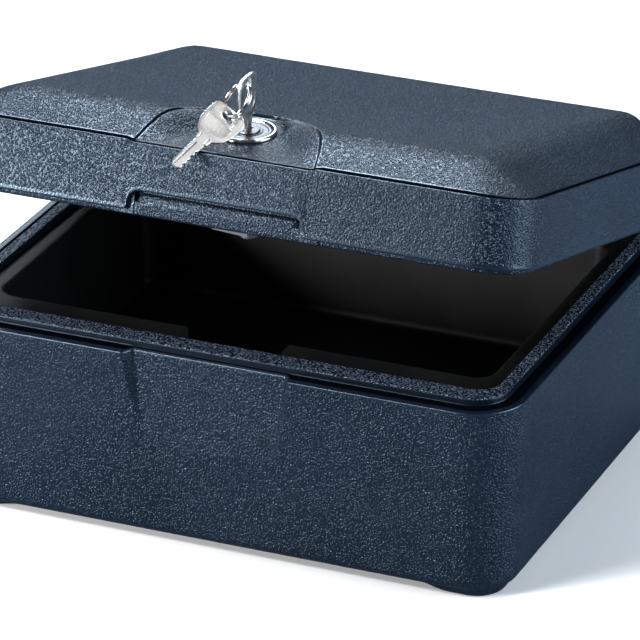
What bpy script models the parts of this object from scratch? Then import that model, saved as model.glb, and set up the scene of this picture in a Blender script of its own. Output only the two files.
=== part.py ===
"""Fireproof document box: a moulded chest with a filled double-wall base and lid and a key lock.

Metres, +Z up, X across the front, the front at -Y. The origin is on the floor under the middle of
the whole object, hinges included. Everything is laid out from the middle of the base, under the
empty box_frame, which carries the small step back to the origin. Everything in the lid is laid out
for a closed lid, under an empty on the hinge axis, and that empty is then turned to the angle at
which the lid stands open at rest. Everything in the lock hangs under an empty in the middle of the
lock's pad, whose local Z is the lock's axis.
"""

import math

import bmesh
import bpy
from mathutils import Matrix, Vector

MM = 0.001
GAP = 0.3 * MM
OVERLAP = 2 * MM

# Base, measured on its outside.
BODY_WIDTH = 355 * MM
BODY_DEPTH = 285 * MM
CORNER_RADIUS = 30 * MM
WALL = 3 * MM
FOOT_HEIGHT = 4.5 * MM
FOOT_LENGTH = 60 * MM
FOOT_DEPTH = 104 * MM
LEDGE_Z = 115.5 * MM
BASE_DRAFT = 4.3 * MM
BOTTOM_ROUNDING = 8 * MM

# The rim: a ledge outside, a raised tongue, and the liner's flange sunk inside the tongue.
LEDGE_WIDTH = 10 * MM
TONGUE_HEIGHT = 4.2 * MM
TONGUE_FRONT = 13 * MM
TONGUE_SIDE = 7.5 * MM
TONGUE_REAR = 10 * MM
FLANGE_DROP = 4.7 * MM
FLANGE_THICKNESS = 2.5 * MM
SHELF_SIDE = 12 * MM
SHELF_FRONT = 24.5 * MM
SHELF_REAR = 25 * MM
LINER_WALL = 2.2 * MM
LINER_DRAFT = 3.6 * MM
CAVITY_DEPTH = 73 * MM
CAVITY_RADIUS = 10 * MM

# The bay in the front shelf, into which the lock's nut and cam reach when the lid is closed.
BAY_HALF = 31 * MM
BAY_FRONT = 2.6 * MM
BAY_DEPTH = 32 * MM
BAY_RADIUS = 5 * MM

# The finger recess in the front of the base.
RECESS_TOP_HALF = 51.5 * MM
RECESS_BOTTOM_HALF = 41.5 * MM
RECESS_DEPTH = 6.7 * MM
RECESS_FADE_Z = 60 * MM

# Lid, closed.
LID_GAP = 3.7 * MM
SKIRT_HEIGHT = 38.5 * MM
SKIRT_DRAFT = 1.4 * MM
SKIRT_EDGE = 1.2 * MM
CREASE = 1.4 * MM
LID_RISE = 16.3 * MM
SHOULDER_FRONT = 30 * MM
SHOULDER_SIDE = 37 * MM
SHOULDER_REAR = 9 * MM
SHOULDER_ROUNDING = 7 * MM
NOTCH_HALF = 52.5 * MM
NOTCH_HEIGHT = 11.3 * MM
NOTCH_RADIUS = 8 * MM
POCKET_CEILING_Z = 141 * MM
POCKET_SIDE = 15 * MM
POCKET_FRONT = 27 * MM
POCKET_REAR = 30 * MM
BEAD_CLEARANCE = 0.8 * MM
PLUG_CLEARANCE = 1.6 * MM

# The sunk pad that carries the lock.
PAD_SLOPE = math.radians(15.5)
PAD_DROP = 2 * MM
PAD_HALF_WIDTH = 53.5 * MM
PAD_ARCH = 58 * MM
LOCK_SETBACK = 37 * MM

# Hinges.
HINGE_BEHIND = 7.3 * MM
HINGE_BELOW = 12.5 * MM
HINGE_OFFSET = 115 * MM
BARREL_RADIUS = 6.5 * MM
ARM_WIDTH = 26 * MM
LUG_WIDTH = 10 * MM
PIN_RADIUS = 2 * MM
LID_OPEN_AT_REST = math.radians(15.1)

# Lock, in depths below the pad's surface.
BEZEL_RADIUS = 16.4 * MM
BEZEL_INNER = 13.3 * MM
BEZEL_HEIGHT = 1.9 * MM
BODY_TUBE_RADIUS = 9 * MM
PLUG_RADIUS = 6.2 * MM
NUT_SEAT = 46 * MM
NUT_THICKNESS = 4.5 * MM
TUBE_END = 54 * MM
CAM_DEPTH = 57 * MM
CAM_THICKNESS = 2.5 * MM
CAM_REACH = 23.5 * MM
WAFER_DEPTHS = [4.5 * MM, 7.5 * MM, 10.5 * MM, 13.5 * MM]
WAFER_THICKNESS = 0.9 * MM

# Keys: a flat bow with a hole, a neck and a blade, on a split ring.
KEY_LENGTH = 51.8 * MM
KEY_THICKNESS = 1.8 * MM
BOW_LENGTH = 24.6 * MM
BOW_WIDTH = 21.6 * MM
NECK_WIDTH = 8.8 * MM
BLADE_WIDTH = 6.4 * MM
KEY_HOLE_RADIUS = 3.2 * MM
KEY_HOLE_INSET = 4.6 * MM
KEY_HOLE_ABOVE_PAD = 29 * MM
RING_RADIUS = 10.4 * MM
RING_WIRE = 0.72 * MM
RING_HANGS = Vector((-0.341, -0.519, -0.784))
RING_ACROSS = Vector((0.766, -0.643, 0))
SPARE_POINTS = Vector((-0.273, -0.910, -0.311))
SPARE_FACE = Vector((0.34, -0.72, 0.60))

# Strike on the front wall of the liner.
STRIKE_HALF = 17 * MM
STRIKE_HEIGHT = 15 * MM
STRIKE_REACH = 7.6 * MM
STRIKE_SHEET = 1.5 * MM
STRIKE_TOP_Z = 108.7 * MM
STRIKE_SCREW_OFFSET = 11 * MM

# Positions that follow from the values above.
FRAME_SHIFT = -(HINGE_BEHIND + BARREL_RADIUS) / 2
TONGUE_Z = LEDGE_Z + TONGUE_HEIGHT
FLANGE_Z = TONGUE_Z - FLANGE_DROP
CAVITY_FLOOR_Z = FLANGE_Z - CAVITY_DEPTH
LID_BOTTOM_Z = LEDGE_Z + LID_GAP
CREASE_Z = LID_BOTTOM_Z + SKIRT_HEIGHT
LID_TOP_Z = CREASE_Z + LID_RISE
HINGE_Y = BODY_DEPTH / 2 + HINGE_BEHIND
HINGE_Z = LEDGE_Z - HINGE_BELOW
LINER_BASE_Z = LEDGE_Z + 0.6 * MM
GROOVE_Z = TONGUE_Z + 0.6 * MM
LINER_PLATE_Z = GROOVE_Z + 3.7 * MM
FRONT_Y = -BODY_DEPTH / 2
OPENING_HALF = BODY_WIDTH / 2 - LEDGE_WIDTH - TONGUE_SIDE
OPENING_FRONT = FRONT_Y + LEDGE_WIDTH + TONGUE_FRONT
OPENING_REAR = BODY_DEPTH / 2 - LEDGE_WIDTH - TONGUE_REAR
BAY_WALL_Y = OPENING_FRONT + BAY_FRONT
PAD_FRONT_Z = CREASE_Z - PAD_DROP
LOCK_Y = FRONT_Y + LOCK_SETBACK
LOCK_Z = PAD_FRONT_Z + LOCK_SETBACK * math.tan(PAD_SLOPE)


# ---------------------------------------------------------------- scene and materials

def clear_scene():
    for obj in list(bpy.data.objects):
        bpy.data.objects.remove(obj, do_unlink=True)


def new_collection(name):
    collection = bpy.data.collections.new(name)
    bpy.context.scene.collection.children.link(collection)
    return collection


def principled(name, colour, roughness, metallic=0.0):
    material = bpy.data.materials.new(name)
    material.use_nodes = True
    shader = material.node_tree.nodes["Principled BSDF"]
    shader.inputs["Base Color"].default_value = (*colour, 1)
    shader.inputs["Roughness"].default_value = roughness
    shader.inputs["Metallic"].default_value = metallic
    material.diffuse_color = (*colour, 1)
    return material


clear_scene()
parts = new_collection("fireproof_document_box")
cutters = new_collection("cutters")
cutters.hide_render = True
box_frame = bpy.data.objects.new("box_frame", None)
box_frame.location = (0, FRAME_SHIFT, 0)
parts.objects.link(box_frame)

shell_plastic = principled("shell_plastic", (0.018, 0.026, 0.042), 0.5)
liner_plastic = principled("liner_plastic", (0.010, 0.011, 0.014), 0.45)
filling = principled("insulating_filling", (0.62, 0.60, 0.56), 0.95)
polished_chrome = principled("polished_chrome", (0.86, 0.87, 0.88), 0.12, 1.0)
nickel = principled("nickel", (0.72, 0.70, 0.67), 0.28, 1.0)
zinc = principled("zinc", (0.55, 0.56, 0.57), 0.4, 1.0)
brass = principled("brass", (0.78, 0.60, 0.28), 0.3, 1.0)
spring_steel = principled("spring_steel", (0.5, 0.5, 0.52), 0.3, 1.0)


# ---------------------------------------------------------------- building blocks

def add_object(name, mesh, material=None, parent=None, location=(0, 0, 0)):
    """A named part, or a cutter when it has no material."""
    obj = bpy.data.objects.new(name, mesh)
    obj.location = location
    obj.parent = parent or box_frame
    if material is None:
        cutters.objects.link(obj)
        obj.hide_render = True
        obj.display_type = "WIRE"
    else:
        parts.objects.link(obj)
        mesh.materials.append(material)
    return obj


def add_empty(name, location, rotation=(0, 0, 0), parent=None):
    empty = bpy.data.objects.new(name, None)
    empty.empty_display_size = 0.02
    empty.location = location
    empty.rotation_euler = rotation
    empty.parent = parent or box_frame
    parts.objects.link(empty)
    return empty


def mesh_from(bm, name, smooth_angle=35):
    bmesh.ops.recalc_face_normals(bm, faces=bm.faces)
    mesh = bpy.data.meshes.new(name)
    bm.to_mesh(mesh)
    bm.free()
    mesh.shade_smooth()
    mesh.set_sharp_from_angle(angle=math.radians(smooth_angle))
    return mesh


def edges_at_height(bm, height):
    return [e for e in bm.edges if all(abs(v.co.z - height) < 1e-6 for v in e.verts)]


def block_mesh(name, lower, upper, corner_radius=0, segments=6, insets=None, roundings=None):
    """A box from the corner lower to the corner upper, with its four standing edges rounded.

    insets: {"bottom" or "top": (side, front, rear)} pulls that face in, which gives draft.
    roundings: {"bottom" or "top": (radius, segments)} rounds the edge round that face.
    """
    bm = bmesh.new()
    bmesh.ops.create_cube(bm, size=1)
    middle = (lower + upper) / 2
    size = upper - lower
    for vert in bm.verts:
        vert.co = middle + Vector(c * s for c, s in zip(vert.co, size))
        face = "top" if vert.co.z > middle.z else "bottom"
        side, front, rear = (insets or {}).get(face, (0, 0, 0))
        vert.co.x += side if vert.co.x < middle.x else -side
        vert.co.y += front if vert.co.y < middle.y else -rear
    if corner_radius:
        standing = [e for e in bm.edges if abs(e.verts[0].co.z - e.verts[1].co.z) > 1e-6]
        bmesh.ops.bevel(
            bm, geom=standing, offset=corner_radius, segments=segments, profile=0.5, affect="EDGES"
        )
    for face, (radius, steps) in (roundings or {}).items():
        height = upper.z if face == "top" else lower.z
        bmesh.ops.bevel(
            bm,
            geom=edges_at_height(bm, height),
            offset=radius,
            segments=steps,
            profile=0.5,
            affect="EDGES",
        )
    return mesh_from(bm, name)


def outline_block(name, half_width, front, rear, bottom, top, radius, **shape):
    lower = Vector((-half_width, front, bottom))
    upper = Vector((half_width, rear, top))
    return block_mesh(name, lower, upper, radius, **shape)


def cylinder_mesh(name, radius, bottom, top, sides=32, scale_y=1.0):
    bm = bmesh.new()
    bmesh.ops.create_cone(
        bm,
        cap_ends=True,
        segments=sides,
        radius1=radius,
        radius2=radius,
        depth=top - bottom,
        matrix=Matrix.Translation((0, 0, (top + bottom) / 2)),
    )
    for vert in bm.verts:
        vert.co.y *= scale_y
    return mesh_from(bm, name)


def turned_object(name, profile, material, parent, sides=48):
    """A ring or shaft: the profile (radius, height), from top to bottom outside, turned about Z."""
    mesh = bpy.data.meshes.new(name)
    points = [(radius, 0, height) for radius, height in profile]
    closed = profile[0][0] > 0 and profile[-1][0] > 0
    count = len(points)
    edges = [(i, (i + 1) % count) for i in range(count if closed else count - 1)]
    mesh.from_pydata(points, edges, [])
    obj = add_object(name, mesh, material, parent)
    screw = obj.modifiers.new("turn", "SCREW")
    screw.steps = sides
    screw.render_steps = sides
    screw.use_merge_vertices = True
    screw.merge_threshold = 0.00001
    screw.use_smooth_shade = True
    return obj


def flat_outline_mesh(name, loops, thickness):
    """A flat plate from closed 2D outlines; the later loops are holes in the first."""
    curve = bpy.data.curves.new(name, "CURVE")
    curve.dimensions = "2D"
    curve.fill_mode = "BOTH"
    curve.extrude = thickness / 2
    for loop in loops:
        spline = curve.splines.new("POLY")
        spline.points.add(len(loop) - 1)
        for point, (x, y) in zip(spline.points, loop):
            point.co = (x, y, 0, 1)
        spline.use_cyclic_u = True
    guide = bpy.data.objects.new(name, curve)
    cutters.objects.link(guide)
    mesh = welded_mesh_of(guide, name)
    return mesh


def welded_mesh_of(guide, name):
    """The mesh of a curve object with its caps welded; the curve object is removed."""
    bpy.context.view_layer.update()
    evaluated = guide.evaluated_get(bpy.context.evaluated_depsgraph_get())
    bm = bmesh.new()
    bm.from_mesh(bpy.data.meshes.new_from_object(evaluated))
    bmesh.ops.remove_doubles(bm, verts=bm.verts, dist=0.000001)
    bpy.data.objects.remove(guide, do_unlink=True)
    return mesh_from(bm, name)


def wire_mesh(name, points, wire_radius, resolution):
    """A wire along the given points, with closed ends."""
    curve = bpy.data.curves.new(name, "CURVE")
    curve.dimensions = "3D"
    curve.bevel_depth = wire_radius
    curve.bevel_resolution = resolution
    curve.use_fill_caps = True
    spline = curve.splines.new("POLY")
    spline.points.add(len(points) - 1)
    for target, point in zip(spline.points, points):
        target.co = (*point, 1)
    guide = bpy.data.objects.new(name, curve)
    cutters.objects.link(guide)
    return welded_mesh_of(guide, name)


def boolean(obj, operation, other):
    modifier = obj.modifiers.new(f"{operation.lower()}_{other.name}", "BOOLEAN")
    modifier.operation = operation
    modifier.object = other
    modifier.solver = "EXACT"
    return obj


def arc(centre, radius, start, end, count):
    """Points along a circular arc, both ends included; the angles are in degrees."""
    angles = [math.radians(start + (end - start) * i / (count - 1)) for i in range(count)]
    return [(centre[0] + radius * math.cos(a), centre[1] + radius * math.sin(a)) for a in angles]


# ---------------------------------------------------------------- base

def base_body_mesh(name, inset, bottom, top, rounding):
    """The base's outside, or the same shape set in by a wall thickness."""
    half = BODY_WIDTH / 2 - inset
    draft = BASE_DRAFT * (top - bottom) / (LEDGE_Z - FOOT_HEIGHT)
    return outline_block(
        name,
        half,
        FRONT_Y + inset,
        BODY_DEPTH / 2 - inset,
        bottom,
        top,
        CORNER_RADIUS - inset,
        insets={"bottom": (draft, draft, draft)},
        roundings={"bottom": (rounding, 3)},
    )


def recess_mesh(name, growth, extra_depth):
    """The finger recess: a wedge that narrows and runs out towards the bottom."""
    bottom = RECESS_FADE_Z
    top = TONGUE_Z + OVERLAP
    lower = Vector((-RECESS_TOP_HALF - growth, FRONT_Y - 3 * OVERLAP, bottom))
    upper = Vector((RECESS_TOP_HALF + growth, FRONT_Y + RECESS_DEPTH + extra_depth, top))
    narrowing = RECESS_TOP_HALF - RECESS_BOTTOM_HALF
    run_out = RECESS_DEPTH - BASE_DRAFT / 2 + extra_depth * 0.2
    return block_mesh(name, lower, upper, insets={"bottom": (narrowing, 0, run_out)})


def foot_mesh(name, side_x, side_y):
    """A corner pad; side_x and side_y are -1 or 1 for the corner it stands at."""
    edge_x = BODY_WIDTH / 2 - BASE_DRAFT - 4 * MM
    edge_y = BODY_DEPTH / 2 - BASE_DRAFT - 4 * MM
    xs = sorted((side_x * edge_x, side_x * (edge_x - FOOT_LENGTH)))
    ys = sorted((side_y * edge_y, side_y * (edge_y - FOOT_DEPTH)))
    lower = Vector((xs[0], ys[0], 0))
    upper = Vector((xs[1], ys[1], FOOT_HEIGHT + OVERLAP))
    return block_mesh(name, lower, upper, 20 * MM, segments=4, roundings={"bottom": (1.5 * MM, 1)})


def hinge_lug_meshes():
    """Name, barrel and web of each lug behind the base, two on each hinge."""
    found = []
    offset = ARM_WIDTH / 2 + 0.4 * MM + LUG_WIDTH / 2
    for side in (-1, 1):
        for step in (-1, 1):
            middle = side * HINGE_OFFSET + step * offset
            found.append(hinge_eye(f"lug_{side}_{step}", middle, LUG_WIDTH))
    return found


def hinge_eye(name, middle, width):
    """A barrel on the hinge axis and a web to the wall, a hair smaller so that no faces coincide."""
    barrel = cylinder_mesh(name + "_barrel", BARREL_RADIUS, -width / 2, width / 2, 24)
    barrel.transform(Matrix.Rotation(math.pi / 2, 4, "Y"))
    barrel.transform(Matrix.Translation((middle, HINGE_Y, HINGE_Z)))
    wall_y = BODY_DEPTH / 2 - OVERLAP
    half = width / 2 - 0.01 * MM
    lower = Vector((middle - half, wall_y, HINGE_Z - BARREL_RADIUS * 0.98))
    upper = Vector((middle + half, HINGE_Y, HINGE_Z + BARREL_RADIUS * 0.98))
    web = block_mesh(name + "_web", lower, upper, insets={"bottom": (0, -0.01 * MM, 0)})
    return name, barrel, web


def pin_bore_mesh(name, middle):
    length = ARM_WIDTH + 4 * LUG_WIDTH
    bore = cylinder_mesh(name, PIN_RADIUS + GAP, -length / 2, length / 2, 20)
    bore.transform(Matrix.Rotation(math.pi / 2, 4, "Y"))
    bore.transform(Matrix.Translation((middle, HINGE_Y, HINGE_Z)))
    return bore


def opening_block(name, margin, bottom, top, radius, **shape):
    """A block over the opening inside the tongue, set in from it by margin."""
    return outline_block(
        name,
        OPENING_HALF - margin,
        OPENING_FRONT + margin,
        OPENING_REAR - margin,
        bottom,
        top,
        radius,
        **shape,
    )


def build_base_shell():
    body = base_body_mesh("base_shell", 0, FOOT_HEIGHT, LEDGE_Z, BOTTOM_ROUNDING)
    shell = add_object("base_shell", body, shell_plastic)
    tongue = outline_block(
        "tongue",
        BODY_WIDTH / 2 - LEDGE_WIDTH,
        FRONT_Y + LEDGE_WIDTH,
        BODY_DEPTH / 2 - LEDGE_WIDTH,
        LEDGE_Z - 2 * OVERLAP,
        TONGUE_Z,
        CORNER_RADIUS - LEDGE_WIDTH,
        roundings={"top": (0.6 * MM, 1)},
    )
    boolean(shell, "UNION", add_object("tongue", tongue))
    for side_x in (-1, 1):
        for side_y in (-1, 1):
            name = f"foot_{side_x}_{side_y}"
            boolean(shell, "UNION", add_object(name, foot_mesh(name, side_x, side_y)))
    for name, barrel, web in hinge_lug_meshes():
        boolean(shell, "UNION", add_object(name + "_web", web))
        boolean(shell, "UNION", add_object(name + "_barrel", barrel))
    cavity_mesh = base_body_mesh("base_cavity", WALL, FOOT_HEIGHT + WALL, LEDGE_Z - WALL, 6 * MM)
    cavity = add_object("base_cavity", cavity_mesh)
    backing = add_object("recess_backing", recess_mesh("recess_backing", WALL, WALL))
    boolean(cavity, "DIFFERENCE", backing)
    boolean(shell, "DIFFERENCE", cavity)
    opening = opening_block("opening", 0, LEDGE_Z - WALL - OVERLAP, TONGUE_Z + OVERLAP, 13 * MM)
    boolean(shell, "DIFFERENCE", add_object("opening", opening))
    boolean(shell, "DIFFERENCE", add_object("finger_recess", recess_mesh("finger_recess", 0, 0)))
    for side in (-1, 1):
        name = f"base_bore_{side}"
        boolean(shell, "DIFFERENCE", add_object(name, pin_bore_mesh(name, side * HINGE_OFFSET)))
    return shell


def cavity_block(name, growth, top):
    """The document space grown by growth all round, with its draft and rounded floor."""
    bottom = CAVITY_FLOOR_Z - growth
    draft = LINER_DRAFT * (top - bottom) / CAVITY_DEPTH
    return outline_block(
        name,
        OPENING_HALF - SHELF_SIDE + growth,
        OPENING_FRONT + SHELF_FRONT - growth,
        OPENING_REAR - SHELF_REAR + growth,
        bottom,
        top,
        CAVITY_RADIUS + growth,
        insets={"bottom": (draft, draft, draft)},
        roundings={"bottom": (4 * MM, 2)},
    )


def bay_block(name, growth, top):
    """The bay for the lock in front of the document space, grown like it and open to it."""
    return outline_block(
        name,
        BAY_HALF + growth,
        OPENING_FRONT + BAY_FRONT - growth,
        OPENING_FRONT + SHELF_FRONT + 4 * OVERLAP,
        FLANGE_Z - BAY_DEPTH - growth,
        top,
        BAY_RADIUS + growth,
    )


def build_base_inside():
    under_ledge = LEDGE_Z - WALL - GAP
    block = base_body_mesh(
        "base_insulation", WALL + GAP, FOOT_HEIGHT + WALL + GAP, under_ledge, 6 * MM
    )
    insulation = add_object("base_insulation", block, filling)
    clear = recess_mesh("recess_clearance", WALL + GAP, WALL + 2 * GAP)
    boolean(insulation, "DIFFERENCE", add_object("recess_clearance", clear))
    flange = opening_block("base_liner", GAP, FLANGE_Z - FLANGE_THICKNESS, FLANGE_Z, 12.7 * MM)
    liner = add_object("base_liner", flange, liner_plastic)
    under_flange = opening_block(
        "flange_room", 0, FLANGE_Z - FLANGE_THICKNESS - GAP, FLANGE_Z + OVERLAP, 13 * MM
    )
    boolean(insulation, "DIFFERENCE", add_object("flange_room", under_flange))
    for make_block in (cavity_block, bay_block):
        kind = make_block.__name__
        tub_top = FLANGE_Z - FLANGE_THICKNESS / 2
        wall = make_block(kind + "_wall", LINER_WALL, tub_top)
        boolean(liner, "UNION", add_object(kind + "_wall", wall))
        room = make_block(kind + "_room", LINER_WALL + GAP, FLANGE_Z + OVERLAP)
        boolean(insulation, "DIFFERENCE", add_object(kind + "_room", room))
    for make_block in (cavity_block, bay_block):
        kind = make_block.__name__
        space = make_block(kind + "_space", 0, FLANGE_Z + OVERLAP)
        boolean(liner, "DIFFERENCE", add_object(kind + "_space", space))
    for side in (-1, 1):
        bore = strike_screw_bore(f"strike_bore_{side}", side, 1.3 * MM + GAP)
        boolean(liner, "DIFFERENCE", add_object(bore.name, bore))
        pit = strike_screw_bore(f"strike_pit_{side}", side, 1.3 * MM + 2 * GAP)
        boolean(insulation, "DIFFERENCE", add_object(pit.name, pit))
    return insulation, liner


def strike_screw_bore(name, side, radius):
    bore = cylinder_mesh(name, radius, -9.2 * MM, 9.2 * MM, 12)
    bore.transform(Matrix.Rotation(math.pi / 2, 4, "X"))
    height = STRIKE_TOP_Z - STRIKE_HEIGHT / 2 - 2 * MM
    bore.transform(Matrix.Translation((side * STRIKE_SCREW_OFFSET, BAY_WALL_Y, height)))
    return bore


def build_strike():
    """A steel angle under whose upper leg the lock's cam turns, and its two screws."""
    back = BAY_WALL_Y + GAP
    lower = Vector((-STRIKE_HALF, back, STRIKE_TOP_Z - STRIKE_HEIGHT))
    upper = Vector((STRIKE_HALF, back + STRIKE_SHEET, STRIKE_TOP_Z))
    strike = add_object("strike_plate", block_mesh("strike_plate", lower, upper), zinc)
    lower = Vector((-STRIKE_HALF + 2 * MM, back + STRIKE_SHEET / 2, STRIKE_TOP_Z - STRIKE_SHEET))
    upper = Vector((STRIKE_HALF - 2 * MM, back + STRIKE_REACH, STRIKE_TOP_Z + 0.01 * MM))
    leg = block_mesh("strike_leg", lower, upper)
    boolean(strike, "UNION", add_object("strike_leg", leg))
    height = STRIKE_TOP_Z - STRIKE_HEIGHT / 2 - 2 * MM
    for side, label in ((-1, "left"), (1, "right")):
        hole = strike_screw_bore(f"strike_hole_{side}", side, 1.3 * MM + GAP)
        boolean(strike, "DIFFERENCE", add_object(hole.name, hole))
        face = back + STRIKE_SHEET + GAP
        profile = [(0, 1.4), (1.8, 1.2), (2.6, 0.4), (2.6, 0), (1.3, 0), (1.3, -7.5), (0, -8.5)]
        points = [(radius * MM, level * MM) for radius, level in profile]
        screw = turned_object(f"strike_screw_{label}", points, zinc, None, 16)
        screw.location = (side * STRIKE_SCREW_OFFSET, face, height)
        screw.rotation_euler = (-math.pi / 2, 0, 0)


# ---------------------------------------------------------------- lid

def lid_envelope(name, inset, bottom, material=None, parent=None):
    """The lid's outside, or the same shape set in by a wall: a skirt and a sloped top over it.

    Returns one object with the top united to the skirt.
    """
    lowered = inset * 1.14
    skirt_top = CREASE_Z - (lowered - inset * 0.54 if inset else 0)
    skirt_share = (skirt_top - bottom) / SKIRT_HEIGHT
    draft = SKIRT_DRAFT * skirt_share
    lean = SKIRT_DRAFT * (bottom - LID_BOTTOM_Z) / SKIRT_HEIGHT
    half = BODY_WIDTH / 2 - inset - lean
    front = FRONT_Y + inset + lean
    rear = BODY_DEPTH / 2 - inset - lean
    radius = CORNER_RADIUS - inset
    offset = (0, -HINGE_Y, -HINGE_Z)
    skirt = outline_block(
        name,
        half,
        front,
        rear,
        bottom,
        skirt_top,
        radius,
        insets={"top": (draft, draft, draft)},
        roundings=None if inset else {"top": (SKIRT_EDGE, 1)},
    )
    obj = add_object(name, skirt, material, parent, offset)
    start = draft + (CREASE if inset == 0 else 0.2 * MM)
    top_z = LID_TOP_Z - lowered
    side_in = SHOULDER_SIDE - inset - start
    front_in = SHOULDER_FRONT - inset - start
    rear_in = SHOULDER_REAR + inset - start
    crown = outline_block(
        name + "_crown",
        half - start,
        front + start,
        rear - start,
        skirt_top - OVERLAP,
        top_z,
        radius - start,
        insets={"top": (side_in, front_in, rear_in)},
        roundings={"top": (SHOULDER_ROUNDING, 3)},
    )
    boolean(obj, "UNION", add_object(name + "_crown", crown, None, parent, offset))
    return obj


def pad_cutter(name, growth, depth, parent):
    """The arched outline of the lock's pad, standing on the pad's plane and reaching up."""
    radius = PAD_HALF_WIDTH + growth
    stretch = (PAD_ARCH + growth) / radius
    mesh = cylinder_mesh(name, radius, -depth, 40 * MM, 48, stretch)
    front = LOCK_SETBACK / math.cos(PAD_SLOPE)
    mesh.transform(Matrix.Translation((0, -front, 0)))
    return add_object(name, mesh, None, parent)


def notch_cutter(name, parent):
    lower = Vector((-NOTCH_HALF, FRONT_Y - 3 * OVERLAP, LID_BOTTOM_Z - 4 * NOTCH_HEIGHT))
    upper = Vector((NOTCH_HALF, FRONT_Y + WALL + OVERLAP, LID_BOTTOM_Z + NOTCH_HEIGHT))
    bm = bmesh.new()
    bmesh.ops.create_cube(bm, size=1)
    middle = (lower + upper) / 2
    size = upper - lower
    for vert in bm.verts:
        vert.co = middle + Vector(c * s for c, s in zip(vert.co, size))
    across = [
        e
        for e in bm.edges
        if abs(e.verts[0].co.y - e.verts[1].co.y) > 1e-6 and e.verts[0].co.z > middle.z
    ]
    bmesh.ops.bevel(
        bm, geom=across, offset=NOTCH_RADIUS, segments=5, profile=0.5, affect="EDGES"
    )
    return add_object(name, mesh_from(bm, name), None, parent, (0, -HINGE_Y, -HINGE_Z))


def hinge_arm_meshes(side):
    """The arm that hangs from the lid's rear skirt to the hinge barrel."""
    middle = side * HINGE_OFFSET
    half = ARM_WIDTH / 2
    clear_y = BODY_DEPTH / 2 + 0.8 * MM
    back_y = HINGE_Y + BARREL_RADIUS
    top = LID_BOTTOM_Z + 17 * MM
    drop = block_mesh(
        f"arm_drop_{side}",
        Vector((middle - half, clear_y, HINGE_Z)),
        Vector((middle + half, back_y, top)),
        insets={"top": (0, 0, back_y - clear_y - 3 * MM)},
    )
    root = block_mesh(
        f"arm_root_{side}",
        Vector((middle - half + 0.01 * MM, BODY_DEPTH / 2 - WALL + 0.8 * MM, LID_BOTTOM_Z + MM)),
        Vector((middle + half - 0.01 * MM, clear_y + MM, top - 2 * MM)),
    )
    barrel = cylinder_mesh(f"arm_barrel_{side}", BARREL_RADIUS, -half - 0.01 * MM, half, 24)
    barrel.transform(Matrix.Rotation(math.pi / 2, 4, "Y"))
    barrel.transform(Matrix.Translation((middle, HINGE_Y, HINGE_Z)))
    return drop, root, barrel


def build_lid_shell(hinge, lock):
    offset = (0, -HINGE_Y, -HINGE_Z)
    shell = lid_envelope("lid_shell", 0, LID_BOTTOM_Z, shell_plastic, hinge)
    for side in (-1, 1):
        for mesh in hinge_arm_meshes(side):
            boolean(shell, "UNION", add_object(mesh.name, mesh, None, hinge, offset))
    hollow = lid_envelope("lid_hollow", WALL, LID_BOTTOM_Z - 2 * OVERLAP, None, hinge)
    boolean(hollow, "DIFFERENCE", pad_cutter("pad_backing", WALL, WALL, lock))
    boolean(shell, "DIFFERENCE", hollow)
    boolean(shell, "DIFFERENCE", pad_cutter("pad_scoop", 0, 0, lock))
    boolean(shell, "DIFFERENCE", notch_cutter("notch", hinge))
    bore = cylinder_mesh("lid_lock_bore", BODY_TUBE_RADIUS + GAP, -8 * MM, 8 * MM, 32)
    boolean(shell, "DIFFERENCE", add_object("lid_lock_bore", bore, None, lock))
    for side in (-1, 1):
        name = f"lid_bore_{side}"
        bore = pin_bore_mesh(name, side * HINGE_OFFSET)
        boolean(shell, "DIFFERENCE", add_object(name, bore, None, hinge, offset))
    return shell


def pocket_block(name, growth, bottom):
    """The hollow of the lid's liner over the document space, grown by growth."""
    return outline_block(
        name,
        OPENING_HALF - POCKET_SIDE + growth,
        OPENING_FRONT + POCKET_FRONT - growth,
        OPENING_REAR - POCKET_REAR + growth,
        bottom,
        POCKET_CEILING_Z + growth,
        10 * MM + growth,
        roundings={"top": (3 * MM, 2)},
    )


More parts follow.
